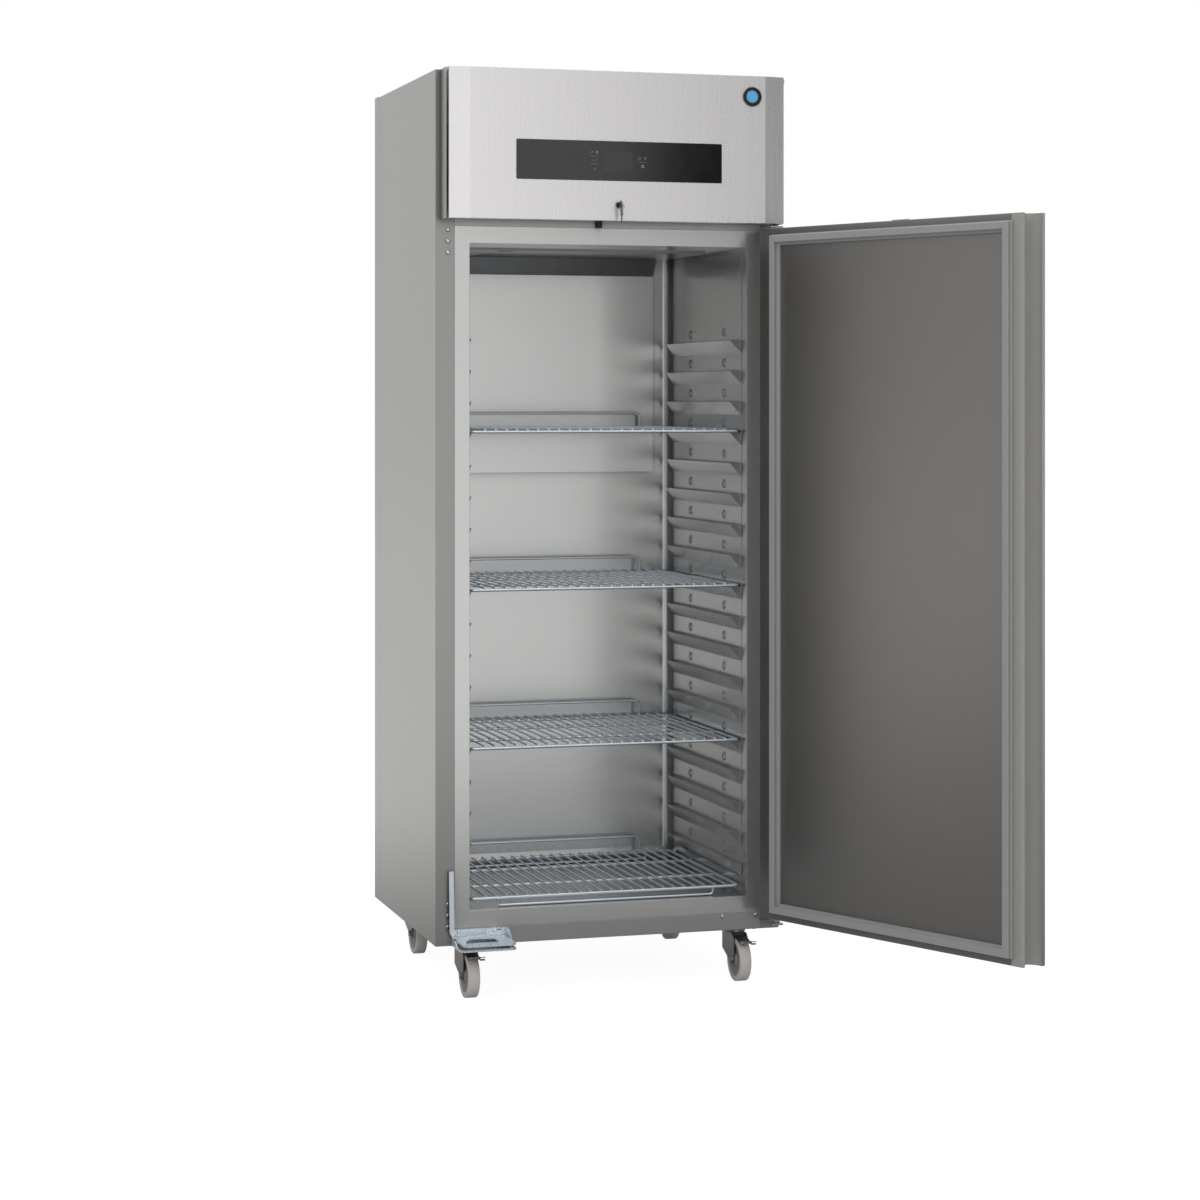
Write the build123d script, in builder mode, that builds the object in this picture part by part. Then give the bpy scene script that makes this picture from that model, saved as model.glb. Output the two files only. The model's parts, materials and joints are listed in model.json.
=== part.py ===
from build123d import *
from math import hypot
import os

os.makedirs("parts", exist_ok=True)

# Every length is in millimetres and every angle in degrees.
# X runs to the right seen from the front, Y to the back and Z up.
# The origin is on the floor, under the centre of the cabinet body.

# Cabinet body
cabinet_width = 820.0
cabinet_depth = 660.0
cabinet_height = 1974.0
castor_height = 125.0
outer_sheet = 1.2
inner_sheet = 1.0
seam = 0.6
side_front_return = 43.3
rear_wrap = 46.0
rear_rise = 2.0

# Cavity
opening_width = 662.0
cavity_height = 1507.2
cavity_depth = 580.0
base_rail = 77.6
top_rail = 38.2
apron_height = 38.8
floor_radius = 30.0
wall_radius = 20.0
ceiling_insulation = 80.0
foam_clearance = 1.0
cut_overshoot = 1.0

half_width = cabinet_width / 2
front_y = -cabinet_depth / 2
back_y = cabinet_depth / 2
base_z = castor_height
top_z = base_z + cabinet_height
half_opening = opening_width / 2
floor_z = base_z + base_rail
ceiling_z = floor_z + cavity_height
cavity_back_y = front_y + cavity_depth
front_frame_half = half_width - side_front_return - seam
tray_z = ceiling_z + ceiling_insulation
inner_x = half_width - outer_sheet
inner_front_y = front_y + outer_sheet
inner_back_y = back_y - outer_sheet

# Evaporator chamber, above the back of the cavity
chamber_width = 540.0
chamber_front_inset = 320.0
chamber_height = 240.0
chamber_wall = 40.0
chamber_half = chamber_width / 2
chamber_front_y = front_y + chamber_front_inset
chamber_back_y = cavity_back_y - inner_sheet
chamber_top_z = ceiling_z + chamber_height
housing_front_y = chamber_front_y - chamber_wall
housing_top_z = chamber_top_z + chamber_wall

# Door, drawn closed and turned to where it stands
door_height = 1586.0
door_lift = 38.0
door_thickness = 62.0
door_gap = 18.0
door_angle = 115.3
door_frame_end_x = -379.6
door_lip_x = -395.0
hinge_inset = 26.5
hinge_forward = 55.4
hinge_margin = 16.0
facet_start = 349.0
facet_drop = 8.0
grip_edge = 7.0
grip_groove_depth = 17.0
grip_groove_end = 30.0
grip_lip_thickness = 10.0
grip_scoop = 6.0
grip_edge_radius = 3.0

hinge_x = half_width - hinge_inset
hinge_y = front_y - hinge_forward
door_z = base_z + door_lift
door_top_z = door_z + door_height
door_span = Vector(-1, 0, 0).rotate(Axis.Z, door_angle)
door_section = Plane(origin=(hinge_x, hinge_y, door_z), x_dir=door_span, z_dir=(0, 0, 1))
door_inner_v = door_gap - hinge_forward
door_outer_v = door_inner_v + door_thickness
door_facet_v = door_outer_v - facet_drop
door_hinge_u = -hinge_margin
door_bend_near_u = hinge_x - facet_start
door_bend_far_u = hinge_x + facet_start
door_frame_u = hinge_x - door_frame_end_x
door_lip_u = hinge_x - door_lip_x
door_lip_v = door_facet_v - grip_lip_thickness
door_groove_u = door_frame_u - grip_groove_depth
door_foam_v = door_inner_v + inner_sheet

# Gasket
gasket_hinge_margin = 44.5
gasket_grip_margin = 7.6
gasket_end_margin = 15.0
gasket_band = 24.5
gasket_thickness = 17.6
gasket_step = 5.0
gasket_lip = 7.0

# Hinges
hinge_pin_radius = 6.0
hinge_bush_radius = 11.0
hinge_bush_length = 32.0
hinge_pin_reach = 27.0
hinge_plate = 4.0
hinge_plate_width = 31.0
hinge_arm_drop = 15.4
hinge_arm_rise = 3.6
hinge_leg_top = 91.0
hinge_collar_radius = 9.0
running_clearance = 0.05
bearing_gap = 0.3
hinge_screw_inset = 28.5
hinge_screw_pitch = 25.6
hinge_screw_top_drop = 10.0
hinge_screw_bottom_rise = 3.8

# Header, in front of the machine compartment
fascia_width = 793.0
fascia_forward = 80.0
fascia_gap = 12.0
fascia_pan_depth = 22.0
fascia_z = door_top_z + fascia_gap
fascia_height = top_z - fascia_z
fascia_half = fascia_width / 2
fascia_front_y = front_y - fascia_forward
fascia_back_y = fascia_front_y + fascia_pan_depth
fascia_pivot_back = 17.0
fascia_pivot_drop = 9.0
fascia_pivot_radius = 3.0
fascia_pivot_lug = 5.0
fascia_ear = 18.0
side_plate_inset = 10.6
side_plate_depth = 60.0
side_plate_return = 12.0
glass_width = 485.0
glass_height = 89.0
glass_lift = 90.0
glass_thickness = 3.0
glass_proud = 0.6
glass_radius = 3.0
glass_gap = 0.4
board_width = 330.0
board_height = 62.0
board_depth = 13.0
board_gap = 0.5
badge_x = 316.5
badge_drop = 48.0
badge_radius = 23.0
badge_thickness = 2.4
badge_edge = 0.8
cam_slot_length = 51.0
cam_slot_middle = 14.5
cam_slot_width = 7.0

# Lock and keys
lock_x = -3.0
lock_lift = 35.5
lock_flange_radius = 9.5
lock_flange = 2.0
lock_body_radius = 8.5
lock_body_length = 17.0
lock_plug_radius = 6.0
lock_cam_length = 46.0
lock_cam_width = 11.0
lock_cam_thickness = 2.5
key_thickness = 2.0
key_blade_width = 6.5
key_blade_length = 8.0
key_reach = 6.0
key_bow_radius = 9.0
key_hole_radius = 2.6
key_hole_drop = 4.8
key_play = 0.1
ring_radius = 5.5
ring_wire_radius = 0.7
keeper_width = 51.0
keeper_height = 5.0
keeper_thickness = 2.0

# Racks on the cavity walls
rack_front = 33.5
rack_back = 547.0
rack_end_gap = 4.0
rack_rib_count = 18
rack_rib_pitch = 72.0
rack_rib_depth = 18.6
rack_rib_rise = 30.0
rack_rib_cutback = 29.0
rack_top_drop = 215.0
rack_boss_width = 12.0
rack_boss_height = 19.0
rack_boss_proud = 3.0
rack_boss_rim = 3.0
rack_boss_depths = (158.5, 411.0)
rack_boss_drop = 51.0

# Wire shelves
shelf_width = 650.0
shelf_depth = 530.0
shelf_front = 25.5
frame_wire = 7.0
cross_wire = 4.5
fence_wire = 6.0
weld_sink = 0.8
shelf_corner = 10.0
cross_wire_count = 24
cross_wire_pitch = 25.0
cross_wire_overrun = 5.0
long_wire_depths = (160.0, 370.0)
fence_height = 40.0
fence_inset = 80.0
fence_corner = 12.0
leg_inset = 63.0
leg_corner = 8.0
shelf_play = 0.3
shelf_rib_numbers = (3, 8, 13)
floor_shelf_lift = 20.0
shelf_names = ("shelf_top", "shelf_upper", "shelf_lower")

# Air duct cover and ceiling panel in the cavity
duct_width = 564.0
duct_front = 565.0
duct_z = 1175.0
duct_bend_z = 1665.0
duct_throat = 525.0
ceiling_panel_width = 600.0
ceiling_panel_front = 205.0
ceiling_panel_depth = 300.0
ceiling_panel_drop = 5.0
intake_slot_count = 24
intake_slot_pitch = 18.0
intake_slot_length = 150.0
intake_slot_width = 6.0
intake_slot_depth = 395.0
ceiling_boss_length = 34.0
ceiling_boss_width = 14.0
ceiling_boss_proud = 1.5
ceiling_boss_x = 190.0
ceiling_boss_depth = 222.0

# Foot pedal
pedal_x = -308.5
pedal_width = 129.0
pedal_reach = 90.0
tread_reach = 104.0
pedal_sheet = 3.0
pedal_bottom_z = 125.5
pedal_back_height = 36.0
pedal_rim = 2.0
pedal_pin_forward = 10.0
pedal_pin_lift = 10.0
pedal_pin_radius = 3.0
pedal_ear_radius = 5.5
pedal_ear_gap = 1.0
pedal_tread_lift = 15.5
pedal_play = 0.5
pedal_corner = 8.0
pedal_wall_low = 17.0
pedal_wall_slope = 62.0
pedal_wall_high = 24.0
pedal_wall_reach = 44.0
pedal_hole_near = 22.0
pedal_hole_far = 52.0
pedal_hole_height = 4.0
hood_shift = -11.0
hood_back = 18.0
hood_front = 74.0
hood_back_width = 62.0
hood_front_width = 84.0
hood_slope = 10.0
hood_height = 6.0
hood_sheet = 2.0
hood_mouth = 8.0
hood_mouth_bow = 9.0
pedal_screw_spacing = 84.4
pedal_screw_lift = 31.0
pedal_screw_shift = 6.8
pedal_slot_shift = 45.5
pedal_slot_length = 10.0
pedal_slot_width = 3.5
lever_width = 11.4
lever_thickness = 5.0
lever_top_z = 294.0
lever_back = 4.5
lever_lean = 8.0
lever_inset = 3.3
lever_foot = 11.0
lever_foot_depth = 12.0
lever_neck = 6.5
lever_neck_height = 12.0

# Castors
castor_inset_x = 86.0
castor_inset_y = 66.0
castor_trail = 35.0
wheel_radius = 50.0
wheel_width = 28.0
wheel_hub_width = 30.0
wheel_hub_radius = 13.0
wheel_web = 18.0
wheel_rim = 14.0
wheel_edge = 2.0
axle_radius = 5.0
axle_nut = 8.0
castor_plate = 3.0
castor_plate_length = 92.0
castor_plate_width = 74.0
castor_race_radius = 26.0
castor_race = 11.0
castor_race_taper = 8.0
fork_sheet = 2.5
fork_gap = 0.5
fork_front = 11.0
fork_toe_drop = 9.5
fork_back = 70.0
fork_heel_z = 66.0
fork_crown_front = 9.0
king_pin_radius = 5.0
king_pin_head = 9.0
castor_bolt_x = 76.0
castor_bolt_y = 58.0
castor_bolt_radius = 4.0
castor_bolt_head = 6.5
castor_bolt_head_height = 4.0
castor_bolt_length = 12.0
brake_pivot_back = 5.0
brake_pivot_z = 106.0
brake_pin_radius = 2.0
brake_barrel_radius = 3.2
brake_reach = 48.0
brake_drop = 11.0
brake_width = 29.0
brake_sheet = 2.0
brake_lip = 7.0
brake_lip_rise = 5.5
brake_prong = 11.0
brake_prong_gap = 3.0

# Refrigeration unit
compressor_radius = 72.0
compressor_height = 190.0
compressor_x = 190.0
compressor_inset = 140.0
compressor_foot = 12.0
compressor_foot_radius = 11.0
compressor_base_width = 156.0
compressor_base_depth = 120.0
compressor_dome = 34.0
terminal_cover_size = 44.0
terminal_cover_proud = 16.0
condenser_x = -120.0
condenser_width = 230.0
condenser_height = 210.0
condenser_depth = 50.0
condenser_inset = 62.0
fin_count = 24
fin_thickness = 1.0
coil_end_plate = 2.0
tube_radius = 4.0
tube_rows = 5
tube_bend_slack = 0.5
condenser_fan_radius = 86.0
fan_blade_count = 5
fan_hub_radius = 26.0
fan_hub_length = 26.0
fan_blade_width = 50.0
fan_shaft_gap = 3.0
fan_collar = 20.0
fan_blade_sheet = 2.0
fan_pitch = 28.0
fan_tip_gap = 5.0
motor_radius = 24.0
motor_length = 46.0
motor_arm_width = 14.0
motor_arm = 3.0
shroud_depth = 30.0
shaft_radius = 3.0
evaporator_width = 420.0
evaporator_height = 150.0
evaporator_depth = 110.0
evaporator_back_gap = 20.0
evaporator_lift = 50.0
evaporator_fan_radius = 80.0
evaporator_fan_lift = 125.0
control_box_width = 120.0
control_box_height = 90.0
control_box_x = -330.0
control_box_depth = 90.0
line_radius = 4.0
line_bend = 10.0
line_socket = 8.0
line_socket_wall = 1.5
inlet_width = 50.0
inlet_height = 34.0
inlet_wall = 5.0
inlet_contact = 1.7
inlet_recess = 18.0
vent_slot_count = 14
vent_slot_pitch = 40.0
vent_slot_length = 120.0
vent_slot_width = 8.0
rear_vent_length = 80.0

# Small fittings
plug_radius = 5.2
plug_dome = 2.6
plug_flat = 0.4
plug_stem_radius = 3.5
plug_stem = 6.0
screw_head_radius = 4.6
screw_head = 2.6
screw_head_taper = 30.0
screw_length = 9.0
screw_radius = 3.0
apron_screw_x = 272.7
apron_screw_edge_x = 354.0
apron_screw_lift = 32.0
door_switch_x = -28.0
door_switch_forward = 9.0
door_switch_radius = 6.5
door_switch_height = 13.0
door_switch_stem = 20.0

front_face = Plane(origin=(0, front_y, 0), x_dir=(1, 0, 0), z_dir=(0, -1, 0))
hinge_screw_x = half_width - hinge_screw_inset
hinge_screw_zs = [door_top_z - hinge_screw_top_drop - i * hinge_screw_pitch for i in range(3)]
hinge_screw_zs += [door_z + hinge_screw_bottom_rise + i * hinge_screw_pitch for i in range(3)]
apron_screws = [(apron_screw_x, base_z + apron_screw_lift), (apron_screw_edge_x, base_z + apron_screw_lift)]
pedal_screw_z = pedal_bottom_z + pedal_screw_lift
pedal_screw_x = pedal_x - pedal_screw_shift
pedal_screws = [(pedal_screw_x + s * pedal_screw_spacing / 2, pedal_screw_z) for s in (-1, 1)]


# Side panels of the outer case, each with its front return

for side, name in ((-1, "outer_side_left"), (1, "outer_side_right")):
    side_back_y = back_y - rear_wrap - seam
    with BuildPart() as outer_side:
        with BuildSketch(Plane.XY.offset(base_z)):
            with BuildLine():
                Polyline(
                    (side * half_width, front_y),
                    (side * half_width, side_back_y),
                    (side * inner_x, side_back_y),
                    (side * inner_x, inner_front_y),
                    (side * (half_width - side_front_return), inner_front_y),
                    (side * (half_width - side_front_return), front_y),
                    close=True,
                )
            make_face()
        extrude(amount=cabinet_height)
        with BuildSketch(front_face):
            with Locations(*[(side * hinge_screw_x, z) for z in hinge_screw_zs]):
                Circle(screw_radius + running_clearance if side > 0 else plug_stem_radius)
        extrude(amount=-outer_sheet, mode=Mode.SUBTRACT)
    outer_side.part.label = name
    export_step(outer_side.part, f"parts/{name}.step")


# Rear panel, wrapped round both back corners

wrap_front_y = back_y - rear_wrap
inlet_z = housing_top_z + control_box_height / 2

with BuildPart() as rear_panel:
    with BuildSketch(Plane.XY.offset(base_z)):
        with BuildLine():
            Polyline(
                (-half_width, wrap_front_y),
                (-half_width, back_y),
                (half_width, back_y),
                (half_width, wrap_front_y),
                (inner_x, wrap_front_y),
                (inner_x, inner_back_y),
                (-inner_x, inner_back_y),
                (-inner_x, wrap_front_y),
                close=True,
            )
        make_face()
    extrude(amount=cabinet_height + rear_rise)
    with BuildSketch(Plane(origin=(0, back_y, 0), x_dir=(-1, 0, 0), z_dir=(0, 1, 0))):
        with Locations((0, (housing_top_z + top_z) / 2)):
            with GridLocations(vent_slot_pitch, 1, vent_slot_count, 1):
                SlotOverall(rear_vent_length, vent_slot_width, rotation=90)
        with Locations((-control_box_x, inlet_z)):
            Rectangle(inlet_width + 2 * running_clearance, inlet_height + 2 * running_clearance)
    extrude(amount=-outer_sheet, mode=Mode.SUBTRACT)
rear_panel.part.label = "rear_panel"
export_step(rear_panel.part, "parts/rear_panel.step")


# Base pan, whose front upstand is the apron under the cavity

castor_xs = half_width - castor_inset_x
castor_spots = {
    "front_left": (-castor_xs, front_y + castor_inset_y),
    "front_right": (castor_xs, front_y + castor_inset_y),
    "rear_left": (-castor_xs, back_y - castor_inset_y),
    "rear_right": (castor_xs, back_y - castor_inset_y),
}
castor_bolts = [
    (x + i * castor_bolt_x / 2, y + j * castor_bolt_y / 2)
    for x, y in castor_spots.values()
    for i in (-1, 1)
    for j in (-1, 1)
]

with BuildPart() as base_pan:
    with BuildSketch(Plane.XY.offset(base_z)):
        with Locations((0, (inner_front_y + inner_back_y) / 2)):
            Rectangle(2 * inner_x, inner_back_y - inner_front_y)
    extrude(amount=outer_sheet)
    with BuildSketch(front_face):
        with Locations((0, base_z + apron_height / 2)):
            Rectangle(2 * front_frame_half, apron_height)
    extrude(amount=-outer_sheet)
    with BuildSketch(Plane.XY.offset(base_z)):
        with Locations(*castor_bolts):
            Circle(castor_bolt_radius + running_clearance)
    extrude(amount=outer_sheet, mode=Mode.SUBTRACT)
    with BuildSketch(front_face):
        with Locations(*apron_screws, *pedal_screws):
            Circle(screw_radius + running_clearance)
    extrude(amount=-outer_sheet, mode=Mode.SUBTRACT)
base_pan.part.label = "base_pan"
export_step(base_pan.part, "parts/base_pan.step")


def cavity_block(wall):
    """The cavity with its rounded rear edges, larger by a wall on every side but its open front."""
    depth = cavity_depth + wall
    middle_y = front_y + depth / 2
    with BuildPart() as block:
        with BuildSketch(Plane.XY.offset(floor_z - wall)) as plan:
            with Locations((0, middle_y)):
                Rectangle(opening_width + 2 * wall, depth)
            fillet(plan.vertices().group_by(Axis.Y)[-1], wall_radius + wall)
        extrude(amount=cavity_height + 2 * wall)
        with BuildSketch(Plane.YZ.offset(-half_opening - wall)) as section:
            with Locations((middle_y, (floor_z + ceiling_z) / 2)):
                Rectangle(depth, cavity_height + 2 * wall)
            rear_corners = section.vertices().group_by(Axis.X)[-1]
            fillet(rear_corners.sort_by(Axis.Y)[0], floor_radius + wall)
        extrude(amount=opening_width + 2 * wall, mode=Mode.INTERSECT)
    return block.part


cavity_space = cavity_block(0)
liner_block = cavity_block(inner_sheet)


# Inner liner with the flange that frames the opening

with BuildPart() as inner_liner:
    add(liner_block)
    flange_low = base_z + apron_height + seam
    flange_high = ceiling_z + top_rail
    with BuildSketch(front_face):
        with Locations((0, (flange_low + flange_high) / 2)):
            Rectangle(2 * front_frame_half, flange_high - flange_low)
    extrude(amount=-outer_sheet)
    add(cavity_space, mode=Mode.SUBTRACT)
    with BuildSketch(Plane.XY.offset(ceiling_z)):
        with Locations((0, (chamber_front_y + chamber_back_y) / 2)):
            Rectangle(2 * chamber_half, chamber_back_y - chamber_front_y)
    extrude(amount=inner_sheet, mode=Mode.SUBTRACT)
inner_liner.part.label = "inner_liner"
export_step(inner_liner.part, "parts/inner_liner.step")


# Insulation between the case and the liner, with the evaporator chamber above it

screw_pocket = screw_radius + foam_clearance
line_pocket = line_radius + foam_clearance
coil_low_z = ceiling_z + evaporator_lift
coil_y = chamber_back_y - evaporator_back_gap - evaporator_depth / 2
condenser_y = front_y + condenser_inset + condenser_depth / 2
unit_z = tray_z + outer_sheet
condenser_low_z = unit_z + compressor_foot
condenser_left_x = condenser_x - condenser_width / 2
condenser_right_x = condenser_x + condenser_width / 2
tube_overhang = 3 * tube_radius
liquid_line_x = condenser_left_x - 2 * tube_overhang
suction_line_x = evaporator_width / 2 + 2 * tube_overhang
condenser_tube_pitch = condenser_height / tube_rows
evaporator_tube_pitch = evaporator_height / tube_rows
liquid_line_z = condenser_low_z + condenser_tube_pitch / 2
suction_line_z = coil_low_z + evaporator_height - evaporator_tube_pitch / 2

with BuildPart() as insulation_foam:
    with BuildSketch(Plane.XY.offset(base_z + outer_sheet)):
        with Locations((0, (inner_front_y + inner_back_y) / 2)):
            Rectangle(2 * inner_x, inner_back_y - inner_front_y)
    extrude(amount=tray_z - base_z - outer_sheet)
    with BuildSketch(Plane.XY.offset(tray_z)):
        with Locations((0, (housing_front_y + inner_back_y) / 2)):
            Rectangle(2 * inner_x, inner_back_y - housing_front_y)
    extrude(amount=housing_top_z - tray_z)
    add(liner_block, mode=Mode.SUBTRACT)
    with BuildSketch(Plane.XY.offset(ceiling_z)):
        with Locations((0, (chamber_front_y + chamber_back_y) / 2)):
            Rectangle(2 * chamber_half, chamber_back_y - chamber_front_y)
    extrude(amount=chamber_height, mode=Mode.SUBTRACT)
    with BuildSketch(Plane.XY.offset(base_z + outer_sheet)):
        with Locations(*castor_bolts):
            Circle(castor_bolt_radius + foam_clearance)
    extrude(amount=screw_length, mode=Mode.SUBTRACT)
    with BuildSketch(front_face.offset(-outer_sheet)):
        with Locations(*[(s * hinge_screw_x, z) for s in (-1, 1) for z in hinge_screw_zs]):
            Circle(screw_pocket)
        with Locations(*apron_screws, *pedal_screws):
            Circle(screw_pocket)
    extrude(amount=-screw_length, mode=Mode.SUBTRACT)
    with BuildSketch(Plane(origin=(0, housing_front_y, 0), x_dir=(1, 0, 0), z_dir=(0, -1, 0))):
        with Locations((liquid_line_x, liquid_line_z), (suction_line_x, suction_line_z)):
            Circle(line_pocket)
    extrude(amount=-chamber_wall, mode=Mode.SUBTRACT)
insulation_foam.part.label = "insulation_foam"
export_step(insulation_foam.part, "parts/insulation_foam.step")


# Top cover of the machine compartment

with BuildPart() as top_cover:
    with BuildSketch(Plane.XY.offset(top_z)):
        with Locations((0, (inner_front_y + inner_back_y) / 2)):
            Rectangle(2 * inner_x, inner_back_y - inner_front_y)
        with Locations((0, housing_front_y - vent_slot_length / 2)):
            with GridLocations(vent_slot_pitch, 1, vent_slot_count, 1):
                SlotOverall(vent_slot_length, vent_slot_width, rotation=90, mode=Mode.SUBTRACT)
    extrude(amount=-outer_sheet)
    with BuildSketch(front_face):
        with Locations((0, top_z - side_front_return / 2)):
            Rectangle(2 * front_frame_half, side_front_return)
    extrude(amount=-outer_sheet)
top_cover.part.label = "top_cover"
export_step(top_cover.part, "parts/top_cover.step")


# Tray that carries the refrigeration unit, with the front rail above the opening

with BuildPart() as unit_tray:
    with BuildSketch(Plane.XY.offset(tray_z)):
        with Locations((0, (inner_front_y + housing_front_y) / 2)):
            Rectangle(2 * inner_x, housing_front_y - inner_front_y)
    extrude(amount=outer_sheet)
    rail_low = ceiling_z + top_rail + seam
    with BuildSketch(front_face):
        with Locations((0, (rail_low + unit_z) / 2)):
            Rectangle(2 * front_frame_half, unit_z - rail_low)
    extrude(amount=-outer_sheet)
unit_tray.part.label = "unit_tray"
export_step(unit_tray.part, "parts/unit_tray.step")


# Rack panels, one bent sheet on each cavity wall with a ledge at every rib

rack_high = ceiling_z - rack_end_gap
rack_low = floor_z + rack_end_gap
rack_first = ceiling_z - rack_top_drop
rack_ledges = [rack_first - i * rack_rib_pitch for i in range(rack_rib_count)]
slant_wall = inner_sheet * hypot(rack_rib_depth, rack_rib_rise) / rack_rib_rise
slant_end = rack_rib_rise * (1 - (slant_wall - inner_sheet) / rack_rib_depth)
ledge_back = rack_rib_depth * (1 - inner_sheet / rack_rib_rise) - slant_wall
cutback_wall = inner_sheet * hypot(rack_rib_depth, rack_rib_cutback) / rack_rib_depth
cutback_slope = rack_rib_cutback / rack_rib_depth
cut_out = rack_rib_depth + cut_overshoot


def rack_plan(side, points):
    """Corners seen from above, given as steps out of a rack's face and back from the cabinet's front."""
    return [(side * (half_opening - inner_sheet - out), front_y + depth) for out, depth in points]


def ledge_ends(side):
    """The three corners of every ledge, seen from the front."""
    corners = ((0, 0), (rack_rib_depth, 0), (0, -rack_rib_rise))
    face_x = half_opening - inner_sheet
    return [[(side * (face_x - out), ledge + drop) for out, drop in corners] for ledge in rack_ledges]


for side, name in ((-1, "rack_left"), (1, "rack_right")):
    face_x = half_opening - inner_sheet
    front_points = [(0, rack_high)]
    back_points = [(-inner_sheet, rack_high)]
    for ledge in rack_ledges:
        front_points += [(0, ledge), (rack_rib_depth, ledge), (0, ledge - rack_rib_rise)]
        back_points += [(-inner_sheet, ledge - inner_sheet), (ledge_back, ledge - inner_sheet)]
        back_points += [(-inner_sheet, ledge - slant_end)]
    front_points.append((0, rack_low))
    back_points.append((-inner_sheet, rack_low))
    outline = [(side * (face_x - out), z) for out, z in front_points + back_points[::-1]]
    with BuildPart() as front_caps:
        with BuildSketch(front_face.offset(-rack_front)):
            for corners in ledge_ends(side):
                with BuildLine():
                    Polyline(*corners, close=True)
                make_face()
        extrude(amount=rack_front - rack_back)
        with BuildSketch(Plane.XY.offset(rack_low)):
            with BuildLine():
                Polyline(
                    *rack_plan(
                        side,
                        [
                            (0, rack_front),
                            (rack_rib_depth, rack_front + rack_rib_cutback),
                            (rack_rib_depth, rack_front + rack_rib_cutback + cutback_wall),
                            (0, rack_front + cutback_wall),
                        ],
                    ),
                    close=True,
                )
            make_face()
        extrude(amount=rack_high - rack_low, mode=Mode.INTERSECT)
    with BuildPart() as rack:
        with BuildSketch(front_face.offset(-rack_front)):
            with BuildLine():
                Polyline(*outline, close=True)
            make_face()
        extrude(amount=rack_front - rack_back)
        with BuildSketch(Plane.XY.offset(rack_low)):
            with BuildLine():
                Polyline(
                    *rack_plan(
                        side,
                        [
                            (0, rack_front),
                            (0, rack_front - cut_overshoot),
                            (cut_out, rack_front - cut_overshoot),
                            (cut_out, rack_front + cutback_slope * cut_out),
                        ],
                    ),
                    close=True,
                )
            make_face()
        extrude(amount=rack_high - rack_low, mode=Mode.SUBTRACT)
        add(front_caps.part)
        with BuildSketch(front_face.offset(inner_sheet - rack_back)):
            for corners in ledge_ends(side):
                with BuildLine():
                    Polyline(*corners, close=True)
                make_face()
        extrude(amount=-inner_sheet)
        rack_face = Plane(origin=(side * face_x, front_y, 0), x_dir=(0, 0, 1), z_dir=(-side, 0, 0))
        boss_zs = [z - rack_boss_drop for z in [rack_first + rack_rib_pitch] + rack_ledges]
        with BuildSketch(rack_face):
            with Locations(*[(z, side * depth) for z in boss_zs for depth in rack_boss_depths]):
                SlotOverall(rack_boss_height, rack_boss_width)
                SlotOverall(
                    rack_boss_height - 2 * rack_boss_rim,
                    rack_boss_width - 2 * rack_boss_rim,
                    mode=Mode.SUBTRACT,
                )
        extrude(amount=rack_boss_proud)
    rack.part.label = name
    export_step(rack.part, f"parts/{name}.step")


# Air duct cover on the back wall of the cavity

with BuildPart() as air_duct_cover:
    cover_y = front_y + duct_front
    throat_y = front_y + duct_throat
    with BuildSketch(Plane(origin=(-duct_width / 2, 0, 0), x_dir=(0, 1, 0), z_dir=(1, 0, 0))):
        with BuildLine():
            Polyline(
                (cover_y, duct_z),
                (cover_y, duct_bend_z),
                (throat_y, ceiling_z),
                (cavity_back_y, ceiling_z),
                (cavity_back_y, duct_z),
                close=True,
            )
        make_face()
    extrude(amount=duct_width)
    hollow_end = duct_width / 2 - inner_sheet
    with BuildSketch(Plane(origin=(-hollow_end, 0, 0), x_dir=(0, 1, 0), z_dir=(1, 0, 0))):
        with BuildLine():
            Polyline(
                (cover_y + inner_sheet, duct_z),
                (cover_y + inner_sheet, duct_bend_z),
                (throat_y + inner_sheet, ceiling_z),
                (cavity_back_y, ceiling_z),
                (cavity_back_y, duct_z),
                close=True,
            )
        make_face()
    extrude(amount=2 * hollow_end, mode=Mode.SUBTRACT)
air_duct_cover.part.label = "air_duct_cover"
export_step(air_duct_cover.part, "parts/air_duct_cover.step")


# Ceiling panel under the evaporator chamber

with BuildPart() as ceiling_panel:
    panel_y = front_y + ceiling_panel_front + ceiling_panel_depth / 2
    with BuildSketch(Plane.XY.offset(ceiling_z)):
        with Locations((0, panel_y)):
            Rectangle(ceiling_panel_width, ceiling_panel_depth)
    extrude(amount=-ceiling_panel_drop)
    with BuildSketch(Plane.XY.offset(ceiling_z)):
        with Locations((0, panel_y)):
            Rectangle(ceiling_panel_width - 2 * inner_sheet, ceiling_panel_depth - 2 * inner_sheet)
    extrude(amount=inner_sheet - ceiling_panel_drop, mode=Mode.SUBTRACT)
    with BuildSketch(Plane.XY.offset(ceiling_z - ceiling_panel_drop)):
        with Locations((0, front_y + intake_slot_depth)):
            with GridLocations(intake_slot_pitch, 1, intake_slot_count, 1):
                SlotOverall(intake_slot_length, intake_slot_width, rotation=90)
    extrude(amount=inner_sheet, mode=Mode.SUBTRACT)
    with BuildSketch(Plane.XY.offset(ceiling_z - ceiling_panel_drop)):
        with Locations(*[(s * ceiling_boss_x, front_y + ceiling_boss_depth) for s in (-1, 1)]):
            SlotOverall(ceiling_boss_length, ceiling_boss_width)
    extrude(amount=-ceiling_boss_proud)
ceiling_panel.part.label = "ceiling_panel"
export_step(ceiling_panel.part, "parts/ceiling_panel.step")


# Door skin, a pan with its front, both ends, the hinge edge and the folded lip of the grip


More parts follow.
